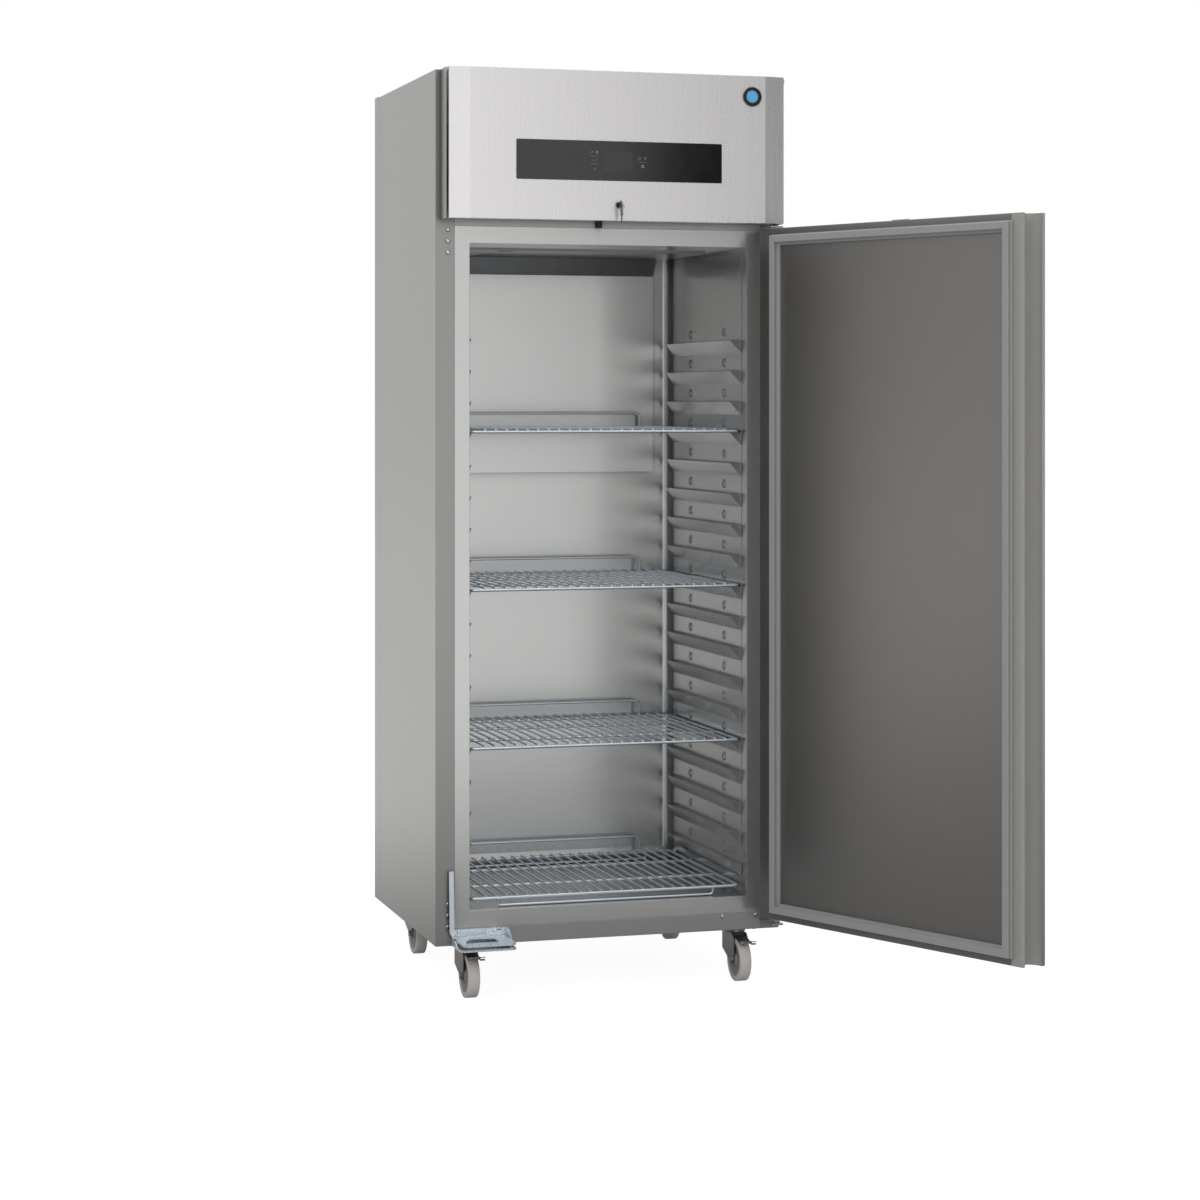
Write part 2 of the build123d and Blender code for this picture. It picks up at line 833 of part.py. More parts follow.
def door_outline(wall, inner_v):
    """The door's corners from the hinge edge round the front to the lip, inside a wall."""
    return [
        (door_hinge_u + wall, inner_v),
        (door_hinge_u + wall, door_facet_v - wall),
        (door_bend_near_u, door_outer_v - wall),
        (door_bend_far_u, door_outer_v - wall),
        (door_lip_u - wall, door_facet_v - wall),
    ]


scoop_start = (door_groove_u, door_inner_v + grip_groove_end)
scoop_end = (door_lip_u - outer_sheet, door_lip_v)
scoop_u = scoop_end[0] - scoop_start[0]
scoop_v = scoop_end[1] - scoop_start[1]
scoop_chord = hypot(scoop_u, scoop_v)
scoop_middle = (
    (scoop_start[0] + scoop_end[0]) / 2 - grip_scoop * scoop_v / scoop_chord,
    (scoop_start[1] + scoop_end[1]) / 2 + grip_scoop * scoop_u / scoop_chord,
)
grip_edge_v = door_inner_v + grip_edge
door_panel_plane = Plane(
    origin=door_section.from_local_coords((0, door_inner_v, 0)),
    x_dir=door_span,
    z_dir=-door_section.y_dir,
)

with BuildPart() as door_skin:
    with BuildSketch(door_section):
        with BuildLine():
            Polyline(*door_outline(0, door_inner_v), (door_lip_u, door_lip_v), scoop_end)
            ThreePointArc(scoop_end, scoop_middle, scoop_start)
            Polyline(
                scoop_start,
                (door_groove_u, grip_edge_v),
                (door_frame_u, grip_edge_v),
                (door_frame_u, door_inner_v),
                (door_hinge_u, door_inner_v),
            )
        make_face()
    extrude(amount=door_height)
    with BuildSketch(door_section.offset(outer_sheet)):
        with BuildLine():
            Polyline(
                *door_outline(outer_sheet, door_inner_v - cut_overshoot),
                (door_lip_u - outer_sheet, door_inner_v - cut_overshoot),
                close=True,
            )
        make_face()
    extrude(amount=door_height - 2 * outer_sheet, mode=Mode.SUBTRACT)
    with BuildSketch(door_section):
        Circle(hinge_bush_radius)
    extrude(amount=door_height, mode=Mode.SUBTRACT)
door_skin.part.label = "door_skin"
export_step(door_skin.part, "parts/door_skin.step")


# Grip, a profile along the whole free edge of the door

with BuildPart() as door_grip:
    with BuildSketch(door_section.offset(outer_sheet)):
        with BuildLine():
            Polyline(
                (door_bend_far_u, door_inner_v),
                (door_bend_far_u, door_outer_v - outer_sheet),
                (door_lip_u - outer_sheet, door_facet_v - outer_sheet),
                scoop_end,
            )
            ThreePointArc(scoop_end, scoop_middle, scoop_start)
            Polyline(
                scoop_start,
                (door_groove_u, grip_edge_v),
                (door_frame_u, grip_edge_v),
                (door_frame_u, door_inner_v + grip_edge_radius),
            )
            TangentArc(
                (door_frame_u, door_inner_v + grip_edge_radius),
                (door_frame_u - grip_edge_radius, door_inner_v),
                tangent=(0, -1),
            )
            Line((door_frame_u - grip_edge_radius, door_inner_v), (door_bend_far_u, door_inner_v))
        make_face()
    extrude(amount=door_height - 2 * outer_sheet)
door_grip.part.label = "door_grip"
export_step(door_grip.part, "parts/door_grip.step")


# Inner panel of the door

with BuildPart() as door_liner:
    with BuildSketch(door_section.offset(outer_sheet)):
        with BuildLine():
            Polyline(
                (door_hinge_u + outer_sheet, door_inner_v),
                (door_bend_far_u, door_inner_v),
                (door_bend_far_u, door_foam_v),
                (door_hinge_u + outer_sheet, door_foam_v),
                close=True,
            )
        make_face()
    extrude(amount=door_height - 2 * outer_sheet)
door_liner.part.label = "door_liner"
export_step(door_liner.part, "parts/door_liner.step")


# Insulation inside the door, with a pocket at each end for the hinge bushes

with BuildPart() as door_foam:
    with BuildSketch(door_section.offset(outer_sheet)):
        with BuildLine():
            Polyline(
                *door_outline(outer_sheet, door_foam_v)[:4],
                (door_bend_far_u, door_foam_v),
                close=True,
            )
        make_face()
    extrude(amount=door_height - 2 * outer_sheet)
    with BuildSketch(door_section):
        Circle(hinge_bush_radius)
    extrude(amount=hinge_bush_length, mode=Mode.SUBTRACT)
    with BuildSketch(door_section.offset(door_height)):
        Circle(hinge_bush_radius)
    extrude(amount=-hinge_bush_length, mode=Mode.SUBTRACT)
door_foam.part.label = "door_foam"
export_step(door_foam.part, "parts/door_foam.step")


# Magnetic gasket, a frame with a thick outer band and a thinner inner lip

with BuildPart() as door_gasket:
    gasket_near_u = door_hinge_u + gasket_hinge_margin
    gasket_far_u = door_groove_u - gasket_grip_margin
    gasket_width = gasket_far_u - gasket_near_u
    gasket_height = door_height - 2 * gasket_end_margin
    gasket_centre = ((gasket_near_u + gasket_far_u) / 2, door_height / 2)
    inner_width = gasket_width - 2 * gasket_band
    inner_height = gasket_height - 2 * gasket_band
    with BuildSketch(door_panel_plane):
        with Locations(gasket_centre):
            Rectangle(gasket_width, gasket_height)
            Rectangle(
                gasket_width - 2 * (gasket_band - gasket_lip),
                gasket_height - 2 * (gasket_band - gasket_lip),
                mode=Mode.SUBTRACT,
            )
    extrude(amount=gasket_thickness)
    with BuildSketch(door_panel_plane):
        with Locations(gasket_centre):
            Rectangle(
                gasket_width - 2 * (gasket_band - gasket_lip),
                gasket_height - 2 * (gasket_band - gasket_lip),
            )
            Rectangle(inner_width, inner_height, mode=Mode.SUBTRACT)
    extrude(amount=gasket_thickness - gasket_step)
door_gasket.part.label = "door_gasket"
export_step(door_gasket.part, "parts/door_gasket.step")


# Bushes that turn on the hinge pins, one in each end of the door

with BuildPart() as door_bushes:
    with BuildSketch(door_section):
        Circle(hinge_bush_radius)
        Circle(hinge_pin_radius + running_clearance, mode=Mode.SUBTRACT)
    extrude(amount=hinge_bush_length)
    with BuildSketch(door_section.offset(door_height)):
        Circle(hinge_bush_radius)
        Circle(hinge_pin_radius + running_clearance, mode=Mode.SUBTRACT)
    extrude(amount=-hinge_bush_length)
door_bushes.part.label = "door_bushes"
export_step(door_bushes.part, "parts/door_bushes.step")


# Keeper on top of the door, behind which the lock's cam turns down

lock_z = fascia_z + lock_lift
lock_back_y = fascia_front_y + lock_body_length
cam_back_y = lock_back_y + bearing_gap + lock_cam_thickness
keeper_v = hinge_y - cam_back_y - keeper_thickness / 2 - bearing_gap

with BuildPart() as door_keeper:
    with BuildSketch(door_section.offset(door_height)):
        with Locations((hinge_x, keeper_v)):
            Rectangle(keeper_width, keeper_thickness)
    extrude(amount=keeper_height)
    with BuildSketch(door_section.offset(door_height)):
        with Locations((hinge_x, keeper_v - keeper_height / 2 - keeper_thickness / 2)):
            Rectangle(keeper_width, keeper_height)
    extrude(amount=keeper_thickness)
door_keeper.part.label = "door_keeper"
export_step(door_keeper.part, "parts/door_keeper.step")


# Hinge brackets, each with its pin

hinge_leg_half = hinge_plate_width / 2
arm_back = hinge_forward + hinge_leg_half

for end, name in ((-1, "hinge_bracket_bottom"), (1, "hinge_bracket_top")):
    door_end_z = door_top_z if end > 0 else door_z
    arm_near_z = door_end_z + end * (hinge_arm_rise if end > 0 else hinge_arm_drop)
    leg_far_z = door_end_z - end * (hinge_leg_top - hinge_screw_pitch)
    arm_far_z = arm_near_z + end * hinge_plate
    with BuildPart() as hinge_bracket:
        with BuildSketch(Plane.XY.offset(arm_near_z)):
            with Locations((hinge_screw_x, front_y - arm_back / 2)):
                RectangleRounded(hinge_plate_width, arm_back, hinge_plate)
            with Locations((hinge_screw_x, front_y - hinge_plate)):
                Rectangle(hinge_plate_width, 2 * hinge_plate)
        extrude(amount=end * hinge_plate)
        with BuildSketch(front_face):
            with Locations((hinge_screw_x, (arm_far_z + leg_far_z) / 2)):
                Rectangle(hinge_plate_width, abs(arm_far_z - leg_far_z))
            with Locations(*[(hinge_screw_x, z) for z in hinge_screw_zs]):
                Circle(screw_radius + running_clearance, mode=Mode.SUBTRACT)
        extrude(amount=hinge_plate)
        with BuildSketch(Plane.XY.offset(arm_near_z)):
            with Locations((hinge_x, hinge_y)):
                Circle(hinge_collar_radius)
        extrude(amount=-end * (abs(arm_near_z - door_end_z) - bearing_gap))
        with BuildSketch(Plane.XY.offset(arm_near_z)):
            with Locations((hinge_x, hinge_y)):
                Circle(hinge_pin_radius)
        extrude(amount=-end * (abs(arm_near_z - door_end_z) + hinge_pin_reach))
    hinge_bracket.part.label = name
    export_step(hinge_bracket.part, f"parts/{name}.step")


# Side plates between the cabinet and the fascia, each with the ear and pin the fascia hangs on

pivot_y = fascia_front_y + fascia_pivot_back
pivot_z = top_z - fascia_pivot_drop
side_plate_x = half_width - side_plate_inset
fascia_ear_x = fascia_half - outer_sheet

with BuildPart() as header_side_plates:
    for side in (-1, 1):
        plate_plane = Plane(origin=(side * side_plate_x, 0, 0), x_dir=(0, 1, 0), z_dir=(1, 0, 0))
        with BuildSketch(plate_plane):
            with Locations((front_y - side_plate_depth / 2, fascia_z + fascia_height / 2)):
                Rectangle(side_plate_depth, fascia_height)
            with Locations((pivot_y, pivot_z)):
                Circle(fascia_pivot_lug)
            with Locations(((pivot_y + front_y) / 2, pivot_z)):
                Rectangle(front_y - pivot_y, 2 * fascia_pivot_lug)
        extrude(amount=-side * outer_sheet)
        with BuildSketch(plate_plane):
            with Locations((pivot_y, pivot_z)):
                Circle(fascia_pivot_radius)
        extrude(amount=-side * (side_plate_x - fascia_ear_x + 3 * outer_sheet))
        with BuildSketch(front_face):
            with Locations((side * (side_plate_x - side_plate_return / 2), fascia_z + fascia_height / 2)):
                Rectangle(side_plate_return, fascia_height)
        extrude(amount=outer_sheet)
header_side_plates.part.label = "header_side_plates"
export_step(header_side_plates.part, "parts/header_side_plates.step")


# Fascia, a bent sheet with top and bottom flanges and two ears for its pivot pins


def fascia_outline(wall, overhang, back):
    """The fascia's corners seen from above, inside a wall and past its ends by an overhang."""
    end_x = fascia_half + overhang
    facet_y = fascia_front_y + facet_drop + wall
    return [
        (-end_x, back),
        (-end_x, facet_y),
        (-facet_start, fascia_front_y + wall),
        (facet_start, fascia_front_y + wall),
        (end_x, facet_y),
        (end_x, back),
    ]


glass_z = fascia_z + glass_lift + glass_height / 2
fascia_face = Plane(origin=(0, fascia_front_y, 0), x_dir=(1, 0, 0), z_dir=(0, -1, 0))

with BuildPart() as fascia:
    with BuildSketch(Plane.XY.offset(fascia_z)):
        with BuildLine():
            Polyline(*fascia_outline(0, 0, fascia_back_y), close=True)
        make_face()
    extrude(amount=fascia_height)
    with BuildSketch(Plane.XY.offset(fascia_z + outer_sheet)):
        with BuildLine():
            Polyline(*fascia_outline(outer_sheet, cut_overshoot, fascia_back_y + cut_overshoot), close=True)
        make_face()
    extrude(amount=fascia_height - 2 * outer_sheet, mode=Mode.SUBTRACT)
    for side in (-1, 1):
        with BuildSketch(Plane(origin=(side * fascia_half, 0, 0), x_dir=(0, 1, 0), z_dir=(1, 0, 0))):
            ear_y = (fascia_front_y + facet_drop + fascia_back_y) / 2
            with Locations((ear_y, top_z - fascia_ear / 2)):
                Rectangle(fascia_back_y - fascia_front_y - facet_drop, fascia_ear)
            with Locations((pivot_y, pivot_z)):
                Circle(fascia_pivot_radius + running_clearance, mode=Mode.SUBTRACT)
        extrude(amount=-side * outer_sheet)
    with BuildSketch(fascia_face):
        with Locations((0, glass_z)):
            RectangleRounded(glass_width + 2 * glass_gap, glass_height + 2 * glass_gap, glass_radius)
        with Locations((lock_x, lock_z)):
            Circle(lock_body_radius)
    extrude(amount=-outer_sheet, mode=Mode.SUBTRACT)
    with BuildSketch(Plane.XY.offset(fascia_z)):
        with Locations((lock_x + cam_slot_middle, cam_back_y - lock_cam_thickness / 2)):
            Rectangle(cam_slot_length, cam_slot_width)
    extrude(amount=outer_sheet, mode=Mode.SUBTRACT)
fascia.part.label = "fascia"
export_step(fascia.part, "parts/fascia.step")


# Control panel: the glass front, the board behind it and the round badge beside it

with BuildPart() as control_glass:
    with BuildSketch(fascia_face.offset(glass_proud)):
        with Locations((0, glass_z)):
            RectangleRounded(glass_width, glass_height, glass_radius)
    extrude(amount=-glass_thickness)
control_glass.part.label = "control_glass"
export_step(control_glass.part, "parts/control_glass.step")

with BuildPart() as control_board:
    with BuildSketch(fascia_face.offset(glass_proud - glass_thickness)):
        with Locations((0, glass_z)):
            RectangleRounded(board_width, board_height, glass_radius)
    extrude(amount=-board_depth)
control_board.part.label = "control_board"
export_step(control_board.part, "parts/control_board.step")

with BuildPart() as badge:
    with BuildSketch(fascia_face):
        with Locations((badge_x, top_z - badge_drop)):
            Circle(badge_radius)
    extrude(amount=badge_thickness)
    rim = badge.faces().sort_by(Axis.Y)[0].edges()
    fillet(rim, badge_edge)
badge.part.label = "badge"
export_step(badge.part, "parts/badge.step")


# Cylinder lock: its housing in the fascia, the plug with its cam, the key, and the ring with the spare key

lock_front_y = fascia_front_y - lock_flange
lock_face = Plane(origin=(lock_x, lock_front_y, lock_z), x_dir=(1, 0, 0), z_dir=(0, -1, 0))
lock_length = lock_back_y - lock_front_y
keyway_length = key_blade_length + key_play

with BuildPart() as lock_housing:
    with BuildSketch(lock_face):
        Circle(lock_flange_radius)
    extrude(amount=-lock_flange)
    fillet(lock_housing.faces().sort_by(Axis.Y)[0].edges(), lock_flange / 2)
    with BuildSketch(lock_face.offset(-lock_flange)):
        Circle(lock_body_radius)
    extrude(amount=lock_flange - lock_length)
    with BuildSketch(lock_face):
        Circle(lock_plug_radius + running_clearance)
    extrude(amount=-lock_length, mode=Mode.SUBTRACT)
lock_housing.part.label = "lock_housing"
export_step(lock_housing.part, "parts/lock_housing.step")

with BuildPart() as lock_plug:
    with BuildSketch(lock_face):
        Circle(lock_plug_radius)
    extrude(amount=-lock_length - bearing_gap)
    cam_plane = lock_face.offset(-lock_length - bearing_gap)
    with BuildSketch(cam_plane):
        Circle(lock_body_radius)
        with Locations((lock_cam_length / 2, 0)):
            Rectangle(lock_cam_length, lock_cam_width)
    extrude(amount=-lock_cam_thickness)
    with BuildSketch(lock_face):
        Rectangle(key_thickness + 2 * key_play, key_blade_width + 2 * key_play)
    extrude(amount=-keyway_length, mode=Mode.SUBTRACT)
lock_plug.part.label = "lock_plug"
export_step(lock_plug.part, "parts/lock_plug.step")


def key_blank(plane):
    """A flat key whose plane has its origin at the bow's centre and its blade along local -Y."""
    key_length = key_bow_radius + key_reach + key_blade_length
    with BuildPart() as blank:
        with BuildSketch(plane):
            Circle(key_bow_radius)
            with Locations((0, -key_length / 2)):
                Rectangle(key_blade_width, key_length)
            with Locations((0, key_hole_drop)):
                Circle(key_hole_radius, mode=Mode.SUBTRACT)
        extrude(amount=key_thickness / 2, both=True)
    return blank.part


bow_y = lock_front_y - key_reach - key_bow_radius
key_hole_y = bow_y - key_hole_drop
key_plane = Plane(origin=(lock_x, bow_y, lock_z), x_dir=(0, 0, 1), z_dir=(1, 0, 0))
ring_z = lock_z - key_hole_radius + 2 * ring_wire_radius - ring_radius
spare_hole_z = ring_z - ring_radius - key_hole_radius + 2 * ring_wire_radius
spare_plane = Plane(
    origin=(lock_x, key_hole_y, spare_hole_z - key_hole_drop), x_dir=(0, 1, 0), z_dir=(1, 0, 0)
)

key = key_blank(key_plane)
key.label = "key"
export_step(key, "parts/key.step")

with BuildPart() as key_ring:
    add(key_blank(spare_plane))
    with BuildSketch(Plane(origin=(lock_x, key_hole_y, ring_z), x_dir=(1, 0, 0), z_dir=(0, 0, 1))):
        with Locations((ring_radius, 0)):
            Circle(ring_wire_radius)
    revolve(axis=Axis((lock_x, key_hole_y, ring_z), (0, 1, 0)))
key_ring.part.label = "key_ring"
export_step(key_ring.part, "parts/key_ring.step")


# Wire shelves, each a welded grid with a raised fence at the back


def wire_loop(plane, half_span, rise, corner, radius):
    """A wire bent to a U: two posts from the plane's X axis to a cross bar at a rise."""
    with BuildPart(mode=Mode.PRIVATE) as loop:
        with BuildLine(plane) as path:
            FilletPolyline(
                (-half_span, 0), (-half_span, rise), (half_span, rise), (half_span, 0), radius=corner
            )
        with BuildSketch(Plane(origin=path.line @ 0, z_dir=path.line % 0)):
            Circle(radius)
        sweep()
    return loop.part


frame_radius = frame_wire / 2
cross_radius = cross_wire / 2
fence_radius = fence_wire / 2
shelf_front_y = front_y + shelf_front + frame_radius
shelf_back_y = front_y + shelf_front + shelf_depth - frame_radius
shelf_half = shelf_width / 2 - frame_radius
shelf_middle_y = (shelf_front_y + shelf_back_y) / 2
fence_plane = Plane(origin=(0, shelf_back_y, 0), x_dir=(1, 0, 0), z_dir=(0, -1, 0))
grid_front = Plane(origin=(0, shelf_front_y, 0), x_dir=(1, 0, 0), z_dir=(0, -1, 0))

with BuildPart() as shelf_frame:
    with BuildLine() as frame_path:
        FilletPolyline(
            (shelf_half, shelf_front_y),
            (shelf_half, shelf_back_y),
            (-shelf_half, shelf_back_y),
            (-shelf_half, shelf_front_y),
            radius=shelf_corner,
            close=True,
        )
    with BuildSketch(Plane(origin=frame_path.line @ 0, z_dir=frame_path.line % 0)):
        Circle(frame_radius)
    sweep()

fence = wire_loop(fence_plane, shelf_half - fence_inset, fence_height, fence_corner, fence_radius)
foot_drop = floor_shelf_lift - fence_radius - shelf_play
foot_half = shelf_half - leg_inset
front_foot = wire_loop(grid_front, foot_half, -foot_drop, leg_corner, fence_radius)
back_foot = wire_loop(fence_plane, foot_half, -foot_drop, leg_corner, fence_radius)

with BuildPart() as shelf_grid:
    add(shelf_frame.part)
    with BuildSketch(Plane(origin=(-shelf_half, 0, 0), x_dir=(0, 1, 0), z_dir=(1, 0, 0))):
        with Locations(*[(front_y + shelf_front + depth, 0) for depth in long_wire_depths]):
            Circle(frame_radius)
    extrude(amount=2 * shelf_half)
    with BuildSketch(grid_front):
        with Locations((0, frame_radius + cross_radius - weld_sink)):
            with GridLocations(cross_wire_pitch, 1, cross_wire_count, 1):
                Circle(cross_radius)
    extrude(amount=shelf_front_y - shelf_back_y - cross_wire_overrun)
    add(fence)

with BuildPart() as floor_grid:
    add(shelf_grid.part)
    add([front_foot, back_foot])

for name, rib in zip(shelf_names, shelf_rib_numbers):
    shelf = Pos(0, 0, rack_ledges[rib] + frame_radius + shelf_play) * shelf_grid.part
    shelf.label = name
    export_step(shelf, f"parts/{name}.step")

shelf_floor = Pos(0, 0, floor_z + floor_shelf_lift) * floor_grid.part
shelf_floor.label = "shelf_floor"
export_step(shelf_floor, "parts/shelf_floor.step")


# Foot pedal: the fixed bracket, the tread that turns on its pin, and the lever that pushes the door

pedal_left = pedal_x - pedal_width / 2
pedal_pin_y = front_y - pedal_pin_forward
pedal_pin_z = pedal_bottom_z + pedal_pin_lift
tread_z = pedal_bottom_z + pedal_tread_lift
tread_top_z = tread_z + pedal_sheet
tread_half = pedal_width / 2 - pedal_sheet - pedal_ear_gap
tread_back_y = front_y - pedal_sheet - pedal_play
pedal_section = Plane(origin=(pedal_x, 0, 0), x_dir=(0, 1, 0), z_dir=(1, 0, 0))
wall_foot_z = pedal_bottom_z + pedal_sheet


def tread_outline(half, reach, back_y, wall):
    """A plate seen from above, with both front corners cut off, inside a wall."""
    reach_y = front_y - reach + wall
    side_x = half - wall
    return [
        (pedal_x - side_x, back_y),
        (pedal_x + side_x, back_y),
        (pedal_x + side_x, reach_y + pedal_corner),
        (pedal_x + side_x - pedal_corner, reach_y),
        (pedal_x - side_x + pedal_corner, reach_y),
        (pedal_x - side_x, reach_y + pedal_corner),
    ]


def pedal_plate(low_z, thickness, half, reach, back_y, rim_z, rim):
    """A plate with a rim along its front and sides, standing from a level by a signed height."""
    with BuildPart(mode=Mode.PRIVATE) as plate:
        with BuildSketch(Plane.XY.offset(low_z)):
            with BuildLine():
                Polyline(*tread_outline(half, reach, back_y, 0), close=True)
            make_face()
        extrude(amount=thickness)
        with BuildSketch(Plane.XY.offset(rim_z)):
            with BuildLine():
                Polyline(*tread_outline(half, reach, front_y - 2 * pedal_pin_forward, 0), close=True)
            make_face()
            with BuildLine():
                Polyline(*tread_outline(half, reach, front_y, pedal_sheet), close=True)
            make_face(mode=Mode.SUBTRACT)
        extrude(amount=rim)
    return plate.part


with BuildPart() as pedal_bracket:
    add(
        pedal_plate(
            pedal_bottom_z, pedal_sheet, pedal_width / 2, pedal_reach, front_y, wall_foot_z, pedal_rim
        )
    )
    with BuildSketch(front_face):
        with Locations((pedal_x, pedal_bottom_z + pedal_back_height / 2)):
            Rectangle(pedal_width, pedal_back_height)
        with Locations(*pedal_screws):
            Circle(screw_radius + running_clearance, mode=Mode.SUBTRACT)
        with Locations((pedal_x + pedal_slot_shift, pedal_screw_z)):
            SlotOverall(pedal_slot_length, pedal_slot_width, mode=Mode.SUBTRACT)
    extrude(amount=pedal_sheet)
    with BuildSketch(pedal_section.offset(-pedal_width / 2)):
        with BuildLine():
            Polyline(
                (front_y, pedal_bottom_z),
                (front_y - pedal_wall_slope, pedal_bottom_z),
                (front_y - pedal_wall_slope, wall_foot_z),
                (front_y - pedal_hole_near, pedal_bottom_z + pedal_wall_low),
                (front_y, pedal_bottom_z + pedal_wall_low),
                close=True,
            )
        make_face()
        with BuildLine():
            Polyline(
                (front_y - pedal_hole_near, wall_foot_z),
                (front_y - pedal_hole_far, wall_foot_z),
                (front_y - pedal_hole_near, wall_foot_z + pedal_hole_height),
                close=True,
            )
        make_face(mode=Mode.SUBTRACT)
    extrude(amount=pedal_sheet)
    with BuildSketch(pedal_section.offset(pedal_width / 2)):
        with BuildLine():
            Polyline(
                (front_y, pedal_bottom_z),
                (front_y - pedal_wall_reach, pedal_bottom_z),
                (front_y - pedal_wall_reach, pedal_bottom_z + pedal_wall_high),
                (front_y - pedal_wall_reach / 2, pedal_bottom_z + pedal_back_height - pedal_sheet),
                (front_y, pedal_bottom_z + pedal_back_height),
                close=True,
            )
        make_face()
    extrude(amount=-pedal_sheet)
    with BuildSketch(pedal_section):
        with Locations((pedal_pin_y, pedal_pin_z)):
            Circle(pedal_pin_radius)
    extrude(amount=pedal_width / 2, both=True)
pedal_bracket.part.label = "pedal_bracket"
export_step(pedal_bracket.part, "parts/pedal_bracket.step")


def hood_outline(inset, shrink):
    """The tread's raised hood seen from above, drawn in by an inset and narrowed by a shrink."""
    middle = pedal_x + hood_shift
    back = hood_back_width / 2 - inset - shrink
    front = hood_front_width / 2 - inset - shrink
    return [
        (middle - back, front_y - hood_back - inset),
        (middle + back, front_y - hood_back - inset),
        (middle + front, front_y - hood_front + inset),
        (middle - front, front_y - hood_front + inset),
    ]


def pedal_hood(base_z, inset, height):
    """A raised form with sloping sides on a base level, drawn in by an inset."""
    with BuildPart(mode=Mode.PRIVATE) as hood:
        with BuildSketch(Plane.XY.offset(base_z)):
            with BuildLine():
                Polyline(*hood_outline(inset, 0), close=True)
            make_face()
        with BuildSketch(Plane.XY.offset(base_z + height)):
            with BuildLine():
                Polyline(*hood_outline(inset + hood_slope / 2, hood_slope / 2), close=True)
            make_face()
        loft()
    return hood.part


mouth_half = hood_front_width / 2
mouth_y = front_y - hood_front - hood_sheet

with BuildPart() as foot_pedal:
    add(pedal_plate(tread_z, pedal_sheet, tread_half, tread_reach, tread_back_y, tread_z, -pedal_rim))
    add(pedal_hood(tread_top_z, 0, hood_height))
    add(pedal_hood(tread_top_z - hood_sheet, hood_sheet, hood_height), mode=Mode.SUBTRACT)
    with BuildSketch(Plane.XY.offset(tread_z)):
        with BuildLine():
            Polyline(*hood_outline(2 * hood_sheet, 0), close=True)
        make_face()
    extrude(amount=pedal_sheet - hood_sheet, mode=Mode.SUBTRACT)
    with BuildSketch(Plane.XY.offset(tread_z)):
        with BuildLine():
            Line(
                (pedal_x + hood_shift - mouth_half, mouth_y),
                (pedal_x + hood_shift + mouth_half, mouth_y),
            )
            ThreePointArc(
                (pedal_x + hood_shift + mouth_half, mouth_y),
                (pedal_x + hood_shift, mouth_y + hood_mouth + hood_mouth_bow),
                (pedal_x + hood_shift - mouth_half, mouth_y),
            )
        make_face()
    extrude(amount=pedal_sheet + hood_height, mode=Mode.SUBTRACT)
    for side in (-1, 1):
        with BuildSketch(pedal_section.offset(side * tread_half)):
            with Locations((pedal_pin_y, pedal_pin_z)):
                Circle(pedal_ear_radius)
            with Locations((pedal_pin_y, (pedal_pin_z + tread_top_z) / 2)):
                Rectangle(2 * pedal_ear_radius, tread_top_z - pedal_pin_z)
            with Locations((pedal_pin_y, pedal_pin_z)):
                Circle(pedal_pin_radius + running_clearance, mode=Mode.SUBTRACT)
        extrude(amount=-side * pedal_sheet)
foot_pedal.part.label = "foot_pedal"
export_step(foot_pedal.part, "parts/foot_pedal.step")

lever_right_x = pedal_left + lever_inset
lever_left_x = lever_right_x - lever_width
lever_neck_x = lever_right_x - lever_neck
lever_foot_x = pedal_left + pedal_sheet + pedal_ear_gap + lever_foot
lever_rise = lever_top_z - tread_top_z
lever_low_y = front_y - lever_back - lever_lean
lever_face = Plane(
    origin=(0, lever_low_y, tread_top_z),
    x_dir=(1, 0, 0),
    z_dir=(0, -lever_rise, lever_lean),
)

with BuildPart() as pedal_lever:
    with BuildSketch(lever_face):
        with BuildLine():
            Polyline(
                (lever_neck_x, bearing_gap),
                (lever_right_x, bearing_gap),
                (lever_right_x, lever_rise),
                (lever_left_x, lever_rise),
                (lever_left_x, lever_neck_height),
                (lever_neck_x, lever_thickness),
                close=True,
            )
        make_face()
    extrude(amount=lever_thickness)
    with BuildSketch(Plane.XY.offset(tread_top_z)):
        with Locations(((lever_foot_x + lever_neck_x) / 2, lever_low_y - lever_foot_depth / 2)):
            Rectangle(lever_foot_x - lever_neck_x, lever_foot_depth)
    extrude(amount=pedal_sheet)
pedal_lever.part.label = "pedal_lever"
export_step(pedal_lever.part, "parts/pedal_lever.step")


# Castors: the fixed plates with their king pins, and for each corner a fork and a wheel

plate_low_z = base_z - castor_plate
race_low_z = plate_low_z - castor_race
crown_high_z = race_low_z - fork_gap
crown_low_z = crown_high_z - fork_sheet
pin_head_high_z = crown_low_z - fork_gap
fork_half = wheel_hub_width / 2 + fork_gap + fork_sheet
spots = castor_spots.values()

with BuildPart() as castor_plates:
    with BuildSketch(Plane.XY.offset(plate_low_z)):
        with Locations(*spots):
            RectangleRounded(castor_plate_length, castor_plate_width, castor_bolt_head)
        with Locations(*castor_bolts):
            Circle(castor_bolt_radius + running_clearance, mode=Mode.SUBTRACT)
    extrude(amount=castor_plate)
    with BuildSketch(Plane.XY.offset(race_low_z)):
        with Locations(*spots):
            Circle(castor_race_radius)
    extrude(amount=castor_race, taper=castor_race_taper)
    with BuildSketch(Plane.XY.offset(pin_head_high_z)):
        with Locations(*spots):
            Circle(king_pin_radius)
    extrude(amount=plate_low_z - pin_head_high_z)
    with BuildSketch(Plane.XY.offset(pin_head_high_z)):
        with Locations(*spots):
            RegularPolygon(king_pin_head, 6)
    extrude(amount=-king_pin_radius)
castor_plates.part.label = "castor_plates"
export_step(castor_plates.part, "parts/castor_plates.step")

